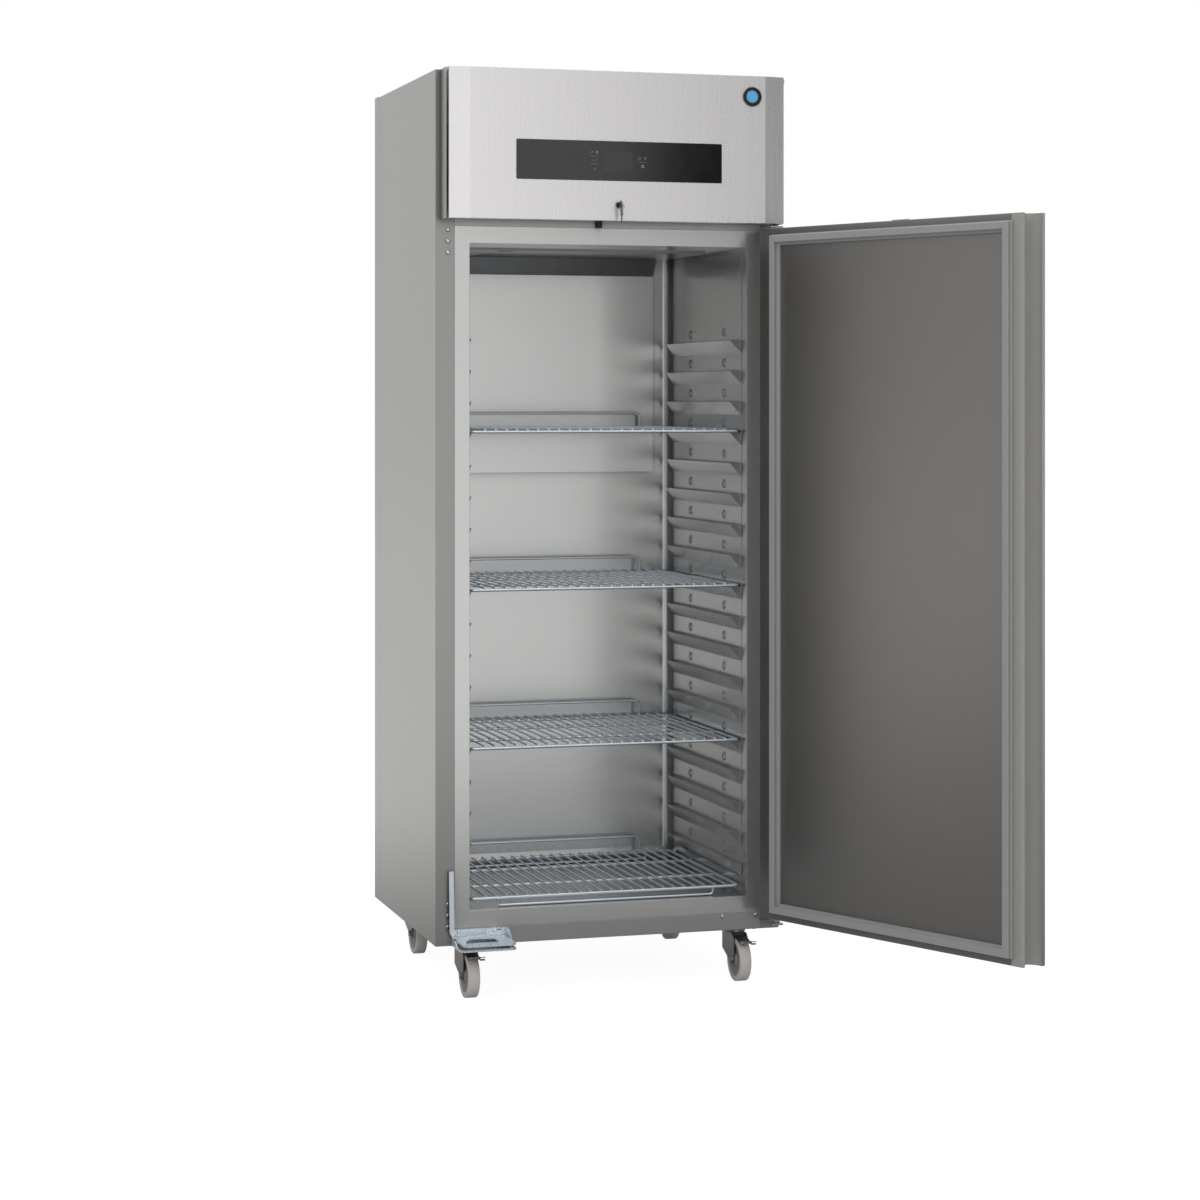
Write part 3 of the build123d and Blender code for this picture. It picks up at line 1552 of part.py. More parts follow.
for corner, (spot_x, spot_y) in castor_spots.items():
    axle_y = spot_y - castor_trail
    side_plane = Plane(origin=(spot_x, 0, 0), x_dir=(0, 1, 0), z_dir=(1, 0, 0))

    with BuildPart() as castor_fork:
        fork_back_y = axle_y + fork_back
        for side in (-1, 1):
            with BuildSketch(side_plane.offset(side * fork_half)):
                with BuildLine():
                    Polyline(
                        (axle_y - fork_front, crown_high_z - fork_front),
                        (axle_y - fork_front, wheel_radius),
                    )
                    TangentArc(
                        (axle_y - fork_front, wheel_radius),
                        (axle_y + fork_front / 2, wheel_radius - fork_toe_drop),
                        tangent=(0, -1),
                    )
                    Polyline(
                        (axle_y + fork_front / 2, wheel_radius - fork_toe_drop),
                        (fork_back_y, fork_heel_z),
                        (fork_back_y, crown_high_z),
                        (axle_y, crown_high_z),
                        (axle_y - fork_front, crown_high_z - fork_front),
                    )
                make_face()
                with Locations((axle_y, wheel_radius)):
                    Circle(axle_radius + running_clearance, mode=Mode.SUBTRACT)
            extrude(amount=-side * fork_sheet)
        with BuildSketch(Plane.XY.offset(crown_low_z)):
            with Locations((spot_x, (axle_y + fork_crown_front + fork_back_y) / 2)):
                Rectangle(2 * fork_half, fork_back_y - axle_y - fork_crown_front)
            with Locations((spot_x, spot_y)):
                Circle(king_pin_radius + running_clearance, mode=Mode.SUBTRACT)
        extrude(amount=fork_sheet)
        with BuildSketch(side_plane.offset(-fork_half - fork_sheet)):
            with Locations((axle_y, wheel_radius)):
                Circle(axle_radius)
        extrude(amount=2 * (fork_half + fork_sheet))
        for side in (-1, 1):
            with BuildSketch(side_plane.offset(side * fork_half)):
                with Locations((axle_y, wheel_radius)):
                    RegularPolygon(axle_nut, 6)
            extrude(amount=side * axle_radius)
        if spot_y < 0:
            with BuildSketch(side_plane):
                with Locations((axle_y + brake_pivot_back, brake_pivot_z)):
                    Circle(brake_pin_radius)
            extrude(amount=fork_half, both=True)
    castor_fork.part.label = f"castor_fork_{corner}"
    export_step(castor_fork.part, f"parts/castor_fork_{corner}.step")

    with BuildPart() as castor_wheel:
        with BuildSketch(Plane(origin=(spot_x, axle_y, wheel_radius), x_dir=(1, 0, 0), z_dir=(0, -1, 0))):
            with BuildLine():
                Polyline(
                    (-wheel_hub_width / 2, axle_radius + running_clearance),
                    (-wheel_hub_width / 2, wheel_hub_radius),
                    (-wheel_web / 2, wheel_hub_radius),
                    (-wheel_web / 2, wheel_radius - wheel_rim),
                    (-wheel_width / 2, wheel_radius - wheel_rim),
                    (-wheel_width / 2, wheel_radius - wheel_edge),
                )
                TangentArc(
                    (-wheel_width / 2, wheel_radius - wheel_edge),
                    (-wheel_width / 2 + wheel_edge, wheel_radius),
                    tangent=(0, 1),
                )
                Line(
                    (-wheel_width / 2 + wheel_edge, wheel_radius),
                    (wheel_width / 2 - wheel_edge, wheel_radius),
                )
                TangentArc(
                    (wheel_width / 2 - wheel_edge, wheel_radius),
                    (wheel_width / 2, wheel_radius - wheel_edge),
                    tangent=(1, 0),
                )
                Polyline(
                    (wheel_width / 2, wheel_radius - wheel_edge),
                    (wheel_width / 2, wheel_radius - wheel_rim),
                    (wheel_web / 2, wheel_radius - wheel_rim),
                    (wheel_web / 2, wheel_hub_radius),
                    (wheel_hub_width / 2, wheel_hub_radius),
                    (wheel_hub_width / 2, axle_radius + running_clearance),
                    (-wheel_hub_width / 2, axle_radius + running_clearance),
                )
            make_face()
        revolve(axis=Axis((spot_x, axle_y, wheel_radius), (1, 0, 0)))
    castor_wheel.part.label = f"castor_wheel_{corner}"
    export_step(castor_wheel.part, f"parts/castor_wheel_{corner}.step")


# Brake levers of the two front castors, hinged between the fork plates

for corner in ("front_left", "front_right"):
    spot_x, spot_y = castor_spots[corner]
    brake_y = spot_y - castor_trail + brake_pivot_back
    tip_y = brake_y - brake_reach
    tip_z = brake_pivot_z - brake_drop
    side_plane = Plane(origin=(spot_x - brake_width / 2, 0, 0), x_dir=(0, 1, 0), z_dir=(1, 0, 0))
    lip_y = tip_y - brake_lip
    lip_z = tip_z + brake_lip_rise
    prong_plane = side_plane.offset(brake_width)
    with BuildPart() as castor_brake:
        with BuildSketch(side_plane):
            with BuildLine():
                Polyline(
                    (brake_y, brake_pivot_z + brake_sheet / 2),
                    (tip_y, tip_z + brake_sheet / 2),
                    (lip_y, lip_z),
                    (lip_y - brake_sheet / 2, lip_z - brake_sheet),
                    (tip_y, tip_z - brake_sheet),
                    (brake_y, brake_pivot_z - brake_sheet / 2),
                    close=True,
                )
            make_face()
            with Locations((brake_y, brake_pivot_z)):
                Circle(brake_barrel_radius)
                Circle(brake_pin_radius + running_clearance, mode=Mode.SUBTRACT)
        extrude(amount=brake_width)
        with BuildSketch(prong_plane):
            with Locations((lip_y + brake_sheet / 2, lip_z - brake_sheet)):
                Circle(brake_sheet / 2)
            with Locations((tip_y, tip_z - brake_prong_gap)):
                Circle(brake_sheet)
        extrude(amount=brake_prong)
        with BuildSketch(prong_plane):
            with BuildLine():
                Polyline(
                    (tip_y - brake_sheet, tip_z + brake_sheet / 2),
                    (tip_y + brake_sheet, tip_z + brake_sheet / 2),
                    (tip_y + brake_sheet, tip_z - brake_prong_gap),
                    (tip_y - brake_sheet, tip_z - brake_prong_gap),
                    close=True,
                )
            make_face()
        extrude(amount=-brake_sheet)
    castor_brake.part.label = f"castor_brake_{corner}"
    export_step(castor_brake.part, f"parts/castor_brake_{corner}.step")


# Compressor: a domed shell on a base with four feet, sockets for two lines and a terminal cover

compressor_y = front_y + compressor_inset
compressor_low_z = unit_z + compressor_foot
compressor_middle_z = unit_z + compressor_height / 2
compressor_reach = compressor_radius + line_socket
socket_radius = line_radius + line_socket_wall
discharge_x = compressor_x - compressor_reach
suction_end_y = compressor_y + compressor_reach

with BuildPart() as compressor:
    with BuildSketch(Plane.XY.offset(compressor_low_z)):
        with Locations((compressor_x, compressor_y)):
            Circle(compressor_radius)
    extrude(amount=compressor_height - compressor_foot)
    fillet(compressor.faces().sort_by(Axis.Z)[-1].edges(), compressor_dome)
    with BuildSketch(Plane.XY.offset(compressor_low_z)):
        with Locations((compressor_x, compressor_y)):
            RectangleRounded(compressor_base_width, compressor_base_depth, compressor_foot)
    extrude(amount=motor_arm)
    with BuildSketch(Plane.XY.offset(unit_z)):
        with Locations((compressor_x, compressor_y)):
            with GridLocations(
                compressor_base_width - 2 * compressor_foot,
                compressor_base_depth - 2 * compressor_foot,
                2,
                2,
            ):
                Circle(compressor_foot_radius)
    extrude(amount=compressor_foot)
    with BuildSketch(Plane(origin=(compressor_x, 0, 0), x_dir=(0, 1, 0), z_dir=(1, 0, 0))):
        with Locations((compressor_y, compressor_middle_z)):
            Rectangle(terminal_cover_size, terminal_cover_size)
    extrude(amount=compressor_radius + terminal_cover_proud)
    with BuildSketch(Plane(origin=(compressor_x, 0, 0), x_dir=(0, 1, 0), z_dir=(1, 0, 0))):
        with Locations((compressor_y, compressor_middle_z)):
            Circle(socket_radius)
    extrude(amount=-compressor_reach)
    with BuildSketch(Plane(origin=(0, compressor_y, 0), x_dir=(-1, 0, 0), z_dir=(0, 1, 0))):
        with Locations((-suction_line_x, suction_line_z)):
            Circle(socket_radius)
    extrude(amount=compressor_reach)
compressor.part.label = "compressor"
export_step(compressor.part, "parts/compressor.step")


# Finned coils: the condenser on the tray and the evaporator hung in its chamber

coils = [
    ("condenser_coil", condenser_x, condenser_y, condenser_low_z, condenser_width, condenser_height)
    + (condenser_depth, unit_z, condenser_low_z + condenser_height),
    ("evaporator_coil", 0, coil_y, coil_low_z, evaporator_width, evaporator_height)
    + (evaporator_depth, coil_low_z, chamber_top_z),
]

for name, x, y, low_z, width, height, depth, plate_low, plate_high in coils:
    pitch = height / tube_rows
    end = width / 2 + tube_overhang
    bend = end + pitch / 2
    rows = [low_z + (i + 0.5) * pitch for i in range(tube_rows)]
    path_points = [(x - end, rows[0])]
    for i, z in enumerate(rows[:-1]):
        side = 1 if i % 2 == 0 else -1
        path_points += [(x + side * bend, z), (x + side * bend, rows[i + 1])]
    path_points.append((x + end, rows[-1]))
    with BuildPart() as coil:
        with BuildLine(Plane(origin=(0, y, 0), x_dir=(1, 0, 0), z_dir=(0, -1, 0))) as tube_path:
            FilletPolyline(*path_points, radius=pitch / 2 - tube_bend_slack)
        with BuildSketch(Plane(origin=tube_path.line @ 0, z_dir=tube_path.line % 0)):
            Circle(tube_radius)
        sweep()
        with BuildSketch(Plane.XY.offset(low_z)):
            with Locations((x, y)):
                with GridLocations(width / fin_count, 1, fin_count - 1, 1):
                    Rectangle(fin_thickness, depth)
        extrude(amount=height)
        with BuildSketch(Plane.XY.offset(plate_low)):
            with Locations((x, y)):
                with GridLocations(width - coil_end_plate, 1, 2, 1):
                    Rectangle(coil_end_plate, depth)
        extrude(amount=plate_high - plate_low)
    coil.part.label = name
    export_step(coil.part, f"parts/{name}.step")


# Shroud behind the condenser, with the collar round the fan and the arm that holds its motor

condenser_fan_z = condenser_low_z + condenser_height / 2
shroud_y = condenser_y + condenser_depth / 2
shroud_back_y = shroud_y + shroud_depth
condenser_fan_y = shroud_back_y - fan_collar / 2
collar_radius = condenser_fan_radius + fan_tip_gap
motor_reach = fan_hub_length / 2 + fan_shaft_gap
arm_y = condenser_fan_y + motor_reach + motor_length
arm_half = collar_radius + outer_sheet + motor_arm

with BuildPart() as fan_shroud:
    shroud_plane = Plane(origin=(condenser_x, shroud_y, condenser_fan_z), x_dir=(-1, 0, 0), z_dir=(0, 1, 0))
    with BuildSketch(shroud_plane):
        Rectangle(condenser_width, condenser_height)
    extrude(amount=shroud_depth)
    with BuildSketch(shroud_plane):
        Rectangle(condenser_width - 2 * outer_sheet, condenser_height - 2 * outer_sheet)
    extrude(amount=shroud_depth - outer_sheet, mode=Mode.SUBTRACT)
    with BuildSketch(shroud_plane.offset(shroud_depth)):
        Circle(collar_radius + outer_sheet)
    extrude(amount=-fan_collar)
    with BuildSketch(shroud_plane):
        Circle(collar_radius)
    extrude(amount=shroud_depth, mode=Mode.SUBTRACT)
    with BuildSketch(shroud_plane.offset(shroud_depth)):
        with GridLocations(2 * arm_half, 1, 2, 1):
            Rectangle(motor_arm, motor_arm_width)
    extrude(amount=arm_y + motor_arm - shroud_back_y)
    with BuildSketch(shroud_plane.offset(arm_y - shroud_y)):
        Rectangle(2 * arm_half + motor_arm, motor_arm_width)
    extrude(amount=motor_arm)
fan_shroud.part.label = "fan_shroud"
export_step(fan_shroud.part, "parts/fan_shroud.step")


# Fans and their motors; both turn about lines along Y

evaporator_fan_y = chamber_front_y + motor_length + motor_reach
evaporator_fan_z = ceiling_z + evaporator_fan_lift
fans = [
    ("condenser_fan", (condenser_x, condenser_fan_y, condenser_fan_z), condenser_fan_radius, 1),
    ("evaporator_fan", (0, evaporator_fan_y, evaporator_fan_z), evaporator_fan_radius, -1),
]

for name, centre, radius, toward in fans:
    hub_plane = Plane(origin=centre, x_dir=(1, 0, 0), z_dir=(0, -1, 0))
    with BuildPart() as fan:
        with BuildSketch(hub_plane):
            Circle(fan_hub_radius)
        extrude(amount=fan_hub_length / 2, both=True)
        for i in range(fan_blade_count):
            outward = Vector(1, 0, 0).rotate(Axis.Y, 360 * i / fan_blade_count)
            tilted = Vector(0, 1, 0).rotate(Axis((0, 0, 0), outward), fan_pitch)
            blade_start = fan_hub_radius / 2
            with BuildSketch(Plane(origin=centre, x_dir=outward, z_dir=tilted)):
                with Locations(((radius + blade_start) / 2, 0)):
                    Rectangle(radius - blade_start, fan_blade_width)
                Circle(radius, mode=Mode.INTERSECT)
            extrude(amount=fan_blade_sheet / 2, both=True)
        with BuildSketch(hub_plane):
            Circle(shaft_radius + running_clearance)
        extrude(amount=fan_hub_length / 2, both=True, mode=Mode.SUBTRACT)
    fan.part.label = name
    export_step(fan.part, f"parts/{name}.step")

with BuildPart() as fan_motors:
    for name, centre, radius, toward in fans:
        motor_plane = Plane(origin=centre, x_dir=(toward, 0, 0), z_dir=(0, -toward, 0))
        with BuildSketch(motor_plane.offset(-motor_reach)):
            Circle(motor_radius)
        extrude(amount=-motor_length)
        with BuildSketch(motor_plane.offset(-motor_reach)):
            Circle(shaft_radius)
        extrude(amount=motor_reach + fan_hub_length / 2)
fan_motors.part.label = "fan_motors"
export_step(fan_motors.part, "parts/fan_motors.step")


# Refrigerant lines: compressor to condenser, condenser to evaporator, evaporator to compressor

condenser_end_x = condenser_right_x + tube_overhang
condenser_start_x = condenser_left_x - tube_overhang
evaporator_end_x = evaporator_width / 2 + tube_overhang
discharge_turn_x = (discharge_x + condenser_end_x) / 2
discharge_z = condenser_low_z + condenser_height - condenser_tube_pitch / 2
expansion_z = coil_low_z + evaporator_tube_pitch / 2
line_routes = [
    [
        (discharge_x, compressor_y, compressor_middle_z),
        (discharge_turn_x, compressor_y, compressor_middle_z),
        (discharge_turn_x, compressor_y, discharge_z),
        (discharge_turn_x, condenser_y, discharge_z),
        (condenser_end_x, condenser_y, discharge_z),
    ],
    [
        (condenser_start_x, condenser_y, liquid_line_z),
        (liquid_line_x, condenser_y, liquid_line_z),
        (liquid_line_x, coil_y, liquid_line_z),
        (liquid_line_x, coil_y, expansion_z),
        (-evaporator_end_x, coil_y, expansion_z),
    ],
    [
        (evaporator_end_x, coil_y, suction_line_z),
        (suction_line_x, coil_y, suction_line_z),
        (suction_line_x, suction_end_y, suction_line_z),
    ],
]

with BuildPart() as refrigerant_lines:
    for route in line_routes:
        with BuildLine() as route_path:
            FilletPolyline(*route, radius=line_bend)
        with BuildSketch(Plane(origin=route_path.line @ 0, z_dir=route_path.line % 0)):
            Circle(line_radius)
        sweep(path=route_path.line)
refrigerant_lines.part.label = "refrigerant_lines"
export_step(refrigerant_lines.part, "parts/refrigerant_lines.step")


# Control box on the evaporator housing, with the mains inlet let into the rear panel

with BuildPart() as control_box:
    with BuildSketch(Plane.XY.offset(housing_top_z)):
        with Locations((control_box_x, inner_back_y - control_box_depth / 2)):
            Rectangle(control_box_width, control_box_depth)
    extrude(amount=control_box_height)
    rear_face = Plane(origin=(control_box_x, back_y, inlet_z), x_dir=(-1, 0, 0), z_dir=(0, 1, 0))
    with BuildSketch(rear_face):
        Rectangle(inlet_width, inlet_height)
    extrude(amount=-outer_sheet)
    with BuildSketch(rear_face):
        RectangleRounded(inlet_width - 2 * inlet_wall, inlet_height - 2 * inlet_wall, inlet_wall)
    extrude(amount=-inlet_recess, mode=Mode.SUBTRACT)
    with BuildSketch(rear_face.offset(-inlet_recess)):
        with GridLocations(2 * inlet_wall, 1, 3, 1):
            Rectangle(inlet_contact, inlet_wall)
    extrude(amount=inlet_recess - 2 * outer_sheet)
control_box.part.label = "control_box"
export_step(control_box.part, "parts/control_box.step")


# Small fittings: plugs in the spare hinge holes, screws and castor bolts, and the door switch

with BuildPart() as blanking_plugs:
    with BuildSketch(front_face):
        with Locations(*[(-hinge_screw_x, z) for z in hinge_screw_zs]):
            Circle(plug_radius)
    extrude(amount=plug_dome)
    fillet(blanking_plugs.faces().sort_by(Axis.Y)[:6].edges(), plug_dome - plug_flat)
    with BuildSketch(front_face):
        with Locations(*[(-hinge_screw_x, z) for z in hinge_screw_zs]):
            Circle(plug_stem_radius - running_clearance)
    extrude(amount=-plug_stem)
blanking_plugs.part.label = "blanking_plugs"
export_step(blanking_plugs.part, "parts/blanking_plugs.step")

with BuildPart() as cabinet_screws:
    screw_groups = [
        (hinge_plate, [(hinge_screw_x, z) for z in hinge_screw_zs]),
        (0, apron_screws),
        (pedal_sheet, pedal_screws),
    ]
    for proud, places in screw_groups:
        with BuildSketch(front_face.offset(proud)):
            with Locations(*places):
                Circle(screw_head_radius)
        extrude(amount=screw_head, taper=screw_head_taper)
        with BuildSketch(front_face.offset(proud)):
            with Locations(*places):
                Circle(screw_radius)
        extrude(amount=-screw_length)
    with BuildSketch(Plane.XY.offset(plate_low_z)):
        with Locations(*castor_bolts):
            RegularPolygon(castor_bolt_head, 6)
    extrude(amount=-castor_bolt_head_height)
    with BuildSketch(Plane.XY.offset(plate_low_z)):
        with Locations(*castor_bolts):
            Circle(castor_bolt_radius)
    extrude(amount=castor_bolt_length)
cabinet_screws.part.label = "cabinet_screws"
export_step(cabinet_screws.part, "parts/cabinet_screws.step")

with BuildPart() as door_switch:
    switch_y = front_y - door_switch_forward
    with BuildSketch(Plane.XY.offset(fascia_z - door_switch_height)):
        with Locations((door_switch_x, switch_y)):
            Circle(door_switch_radius)
    extrude(amount=door_switch_height + door_switch_stem)
    with BuildSketch(Plane.XY.offset(fascia_z + door_switch_stem)):
        with Locations((door_switch_x, (switch_y + front_y) / 2)):
            Rectangle(2 * door_switch_radius, door_switch_forward)
    extrude(amount=-outer_sheet)
    with BuildSketch(front_face):
        with Locations((door_switch_x, fascia_z + door_switch_stem - door_switch_radius)):
            Rectangle(2 * door_switch_radius, 2 * door_switch_radius)
    extrude(amount=outer_sheet)
door_switch.part.label = "door_switch"
export_step(door_switch.part, "parts/door_switch.step")
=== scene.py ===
"""An upright catering refrigerator, dressed on its packed frame."""
import json
import math

import bmesh
import bpy
from mathutils import Matrix, Vector


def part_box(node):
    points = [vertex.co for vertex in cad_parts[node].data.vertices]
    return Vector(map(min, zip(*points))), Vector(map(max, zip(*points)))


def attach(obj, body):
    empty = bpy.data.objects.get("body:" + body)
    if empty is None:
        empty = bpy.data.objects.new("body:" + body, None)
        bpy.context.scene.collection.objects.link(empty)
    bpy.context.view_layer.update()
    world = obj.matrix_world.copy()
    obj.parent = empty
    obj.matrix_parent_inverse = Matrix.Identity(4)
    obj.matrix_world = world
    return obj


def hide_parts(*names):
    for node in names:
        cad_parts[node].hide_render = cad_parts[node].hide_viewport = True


bl_info = {
    "name": "Upright Refrigerator",
    "version": (1, 0, 0),
    "blender": (4, 5, 0),
    "location": "View3D > Sidebar > Refrigerator",
    "description": "Dresses the frame of an upright catering refrigerator",
    "category": "Object",
}

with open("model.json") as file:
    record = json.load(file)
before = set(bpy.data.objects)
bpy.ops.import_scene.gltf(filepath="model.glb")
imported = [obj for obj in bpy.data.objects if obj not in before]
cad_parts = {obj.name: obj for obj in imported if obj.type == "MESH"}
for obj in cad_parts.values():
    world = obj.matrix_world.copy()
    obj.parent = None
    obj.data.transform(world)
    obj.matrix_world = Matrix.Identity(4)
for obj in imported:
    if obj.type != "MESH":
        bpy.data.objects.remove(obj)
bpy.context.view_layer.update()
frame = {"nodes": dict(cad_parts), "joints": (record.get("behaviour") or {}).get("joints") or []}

MM = 0.001
FLAT_AREA = 0.002  # square metres; a face this large is a flat one
SAME_PLACE = 1e-6  # metres; vertices closer than this are one
FINE_SAMPLES = 4  # rays of the nodes that look for folds and gaps
LONG_GRAIN_MM = 600.0  # length of a brushed scratch
CORNERS = ("front_left", "front_right", "rear_left", "rear_right")
SHELVES = ("shelf_top", "shelf_upper", "shelf_lower", "shelf_floor")


# Where things are: corners of the frame's nodes and the pivots of its joints


def joint(name):
    """A joint of the frame."""
    return next(j for j in frame["joints"] if j["name"] == name)


def pivot(joint_name):
    """The place of a joint's pivot at rest, in metres."""
    return Vector(joint(joint_name)["pos_m"])


def door_matrix():
    """The door's own axes: X from the hinge to the free edge, Y out of the door, Z up from its foot."""
    hinge = pivot("door_hinge")
    shut_by = -joint("door_hinge")["range_deg"][0]
    turned = Matrix.Rotation(math.radians(shut_by), 4, "Z")
    closed = Matrix(((-1, 0, 0, 0), (0, -1, 0, 0), (0, 0, 1, 0), (0, 0, 0, 1)))
    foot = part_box("door_skin")[0].z
    return Matrix.Translation((hinge.x, hinge.y, foot)) @ turned @ closed


# Colours, nodes and meshes


def linear(hex_colour):
    """A colour written as sRGB hex, turned to linear RGBA."""
    channels = [int(hex_colour[i : i + 2], 16) / 255 for i in (1, 3, 5)]
    return tuple(c / 12.92 if c <= 0.04045 else ((c + 0.055) / 1.055) ** 2.4 for c in channels) + (1.0,)


def add_node(material, kind, links=(), **settings):
    """Adds a node. Each link is (input, socket or value); each setting is an attribute of the node."""
    node = material.node_tree.nodes.new(kind)
    for name, value in settings.items():
        setattr(node, name, value)
    for name, value in links:
        if isinstance(value, bpy.types.NodeSocket):
            material.node_tree.links.new(value, node.inputs[name])
        else:
            node.inputs[name].default_value = value
    return node


def new_material(name, colour, metallic, roughness, **sockets):
    """A material with its shader set. Returns it with the shader, for the nodes that vary it."""
    material = bpy.data.materials.new(name)
    material.use_nodes = True
    shader = material.node_tree.nodes["Principled BSDF"]
    shader.inputs["Base Color"].default_value = colour
    shader.inputs["Metallic"].default_value = metallic
    shader.inputs["Roughness"].default_value = roughness
    for name, value in sockets.items():
        shader.inputs[name.replace("_", " ")].default_value = value
    return material, shader


def vary(material, shader, colour, size_mm, spread, rough, bump_mm=0.0):
    """Noise, of a size in mm along X, Y and Z, varies a colour, its gloss and the height of the surface."""
    place = add_node(material, "ShaderNodeTexCoord").outputs["Object"]
    stretched = add_node(
        material,
        "ShaderNodeMapping",
        [("Vector", place), ("Scale", [1000 / s for s in size_mm])],
    )
    noise = add_node(
        material,
        "ShaderNodeTexNoise",
        [("Vector", stretched.outputs["Vector"]), ("Scale", 1.0), ("Detail", 3.0), ("Roughness", 0.6)],
    )
    low = tuple(c * (1 - spread) for c in colour[:3]) + (1.0,)
    high = tuple(min(c * (1 + spread), 1.0) for c in colour[:3]) + (1.0,)
    tone = add_node(
        material,
        "ShaderNodeMix",
        [("Factor", noise.outputs["Fac"]), (6, low), (7, high)],
        data_type="RGBA",
    )
    material.node_tree.links.new(tone.outputs[2], shader.inputs["Base Color"])
    base = shader.inputs["Roughness"].default_value
    span = add_node(
        material,
        "ShaderNodeMapRange",
        [("Value", noise.outputs["Fac"]), ("From Min", 0.3), ("From Max", 0.7)]
        + [("To Min", base - rough), ("To Max", base + rough)],
    )
    material.node_tree.links.new(span.outputs["Result"], shader.inputs["Roughness"])
    if bump_mm:
        bump = add_node(
            material,
            "ShaderNodeBump",
            [("Height", noise.outputs["Fac"]), ("Distance", bump_mm * MM), ("Strength", 0.5)],
        )
        material.node_tree.links.new(bump.outputs["Normal"], shader.inputs["Normal"])


def shade_colour(material, shader, level):
    """Multiplies the colour that reaches the shader by a level."""
    tone = shader.inputs["Base Color"].links[0].from_socket
    shade = add_node(
        material,
        "ShaderNodeMix",
        [("Factor", 1.0), (6, tone), (7, level)],
        data_type="RGBA",
        blend_type="MULTIPLY",
    )
    material.node_tree.links.new(shade.outputs[2], shader.inputs["Base Color"])


def paint_shade_in_corners(material, shader, painted_shade_reach_mm, darkest_painted_shade):
    """Paints shade into the colour where other faces stand close, as in folds, seams and gaps."""
    near = add_node(
        material, "ShaderNodeAmbientOcclusion", [("Distance", painted_shade_reach_mm * MM)], samples=FINE_SAMPLES
    )
    level = add_node(material, "ShaderNodeMapRange", [("Value", near.outputs["AO"]), ("To Min", darkest_painted_shade)])
    shade_colour(material, shader, level.outputs["Result"])


def seen_directly(material):
    """One for rays from the camera, straight or through glass, and nought for the others."""
    rays = add_node(material, "ShaderNodeLightPath").outputs
    either = [(0, rays["Is Camera Ray"]), (1, rays["Is Transmission Ray"])]
    return add_node(material, "ShaderNodeMath", either, operation="MAXIMUM").outputs["Value"]


def dress(nodes, material):
    """Gives frame nodes a material."""
    for name in nodes:
        for slot in frame["nodes"][name].material_slots:
            slot.material = material


def finish_piece(bm, name, body, materials, place=None, smooth=35.0):
    """Turns a bmesh into a piece in the frame's axes that rides on a body. Materials go by face index."""
    if place is not None:
        bmesh.ops.transform(bm, matrix=place, verts=bm.verts)
    bmesh.ops.recalc_face_normals(bm, faces=bm.faces)
    mesh = bpy.data.meshes.new(name)
    bm.to_mesh(mesh)
    bm.free()
    for material in materials:
        mesh.materials.append(material)
    mesh.set_sharp_from_angle(angle=math.radians(smooth))
    for polygon in mesh.polygons:
        polygon.use_smooth = polygon.area < FLAT_AREA
    piece = bpy.data.objects.new(name, mesh)
    bpy.context.scene.collection.objects.link(piece)
    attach(piece, body)
    return piece


def add_block(bm, low, high, material=0):
    """A box between two corners."""
    low = Vector(low)
    high = Vector(high)
    size = Matrix.Diagonal((*(high - low), 1))
    made = bmesh.ops.create_cube(bm, size=1, matrix=Matrix.Translation((low + high) / 2) @ size)
    for face in {f for v in made["verts"] for f in v.link_faces}:
        face.material_index = material


def add_stroke(bm, start, end, width, front, depth):
    """A flat bar between two (X, Z) points in mm, standing behind a front plane."""
    start = Vector((start[0], 0, start[1])) * MM
    end = Vector((end[0], 0, end[1])) * MM
    turn = (end - start).to_track_quat("X", "Y").to_matrix().to_4x4()
    size = Matrix.Diagonal(((end - start).length, depth, width * MM, 1))
    place = Matrix.Translation((start + end) / 2 + Vector((0, front + depth / 2, 0)))
    bmesh.ops.create_cube(bm, size=1, matrix=place @ turn @ size)


def round_edges(bm, edges, width, segments):
    """Bevels edges."""
    bmesh.ops.bevel(
        bm, geom=list(edges), offset=width, affect="EDGES", segments=segments, profile=0.5, material=-1
    )


def add_turned(bm, outline, centre, axis, steps):
    """A shape turned on an axis from a closed outline of (radius, distance along the axis)."""
    turn = Vector(axis).to_track_quat("Z", "Y").to_matrix().to_4x4()
    place = Matrix.Translation(centre) @ turn
    points = [bm.verts.new(place @ Vector((r, 0, h))) for r, h in outline]
    ring = [bm.edges.new(pair) for pair in zip(points, points[1:] + points[:1])]
    bmesh.ops.spin(
        bm,
        geom=points + ring,
        cent=centre,
        axis=place.to_3x3() @ Vector((0, 0, 1)),
        angle=math.tau,
        steps=steps,
        use_merge=True,
    )


def scaled(outline, radius, length):
    """An outline of fractions, as (radius, distance) in metres."""
    return [(r * radius, h * length) for r, h in outline]


# Settings


class RefrigeratorSteel(bpy.types.PropertyGroup):
    """Sheet steel colours and grain"""

    case: bpy.props.StringProperty(name="Case", description="Side, rear and top sheets", default="#a3a2a0")
    front: bpy.props.StringProperty(name="Front", description="Front frame and stiles", default="#b5b5b4")
    apron: bpy.props.StringProperty(name="Apron", description="Sheet under the opening", default="#b4b3b2")
    # The header's colour is a paler copy of the front's steel: painted light
    header: bpy.props.StringProperty(name="Header", description="Folded header sheet", default="#eeecec")
    cavity: bpy.props.StringProperty(name="Cavity", description="Liner, ducts and racks", default="#cfcfce")
    # The ceiling's colour is a darker copy of the cavity's steel: painted shade on the downward face
    ceiling: bpy.props.StringProperty(
        name="Ceiling", description="Slotted panel over the cavity", default="#8c8a8a"
    )
    door_inside: bpy.props.StringProperty(
        name="Door inside", description="Inner panel of the door", default="#999795"
    )
    grain_mm: bpy.props.FloatProperty(
        name="Grain",
        description="Width of the brushed grain in mm, drawn coarse enough to show",
        default=1.6,
        min=0.2,
    )
    fold_mm: bpy.props.FloatProperty(
        name="Fold", description="Radius in mm that rounds the look of folded edges", default=1.2, min=0.0
    )


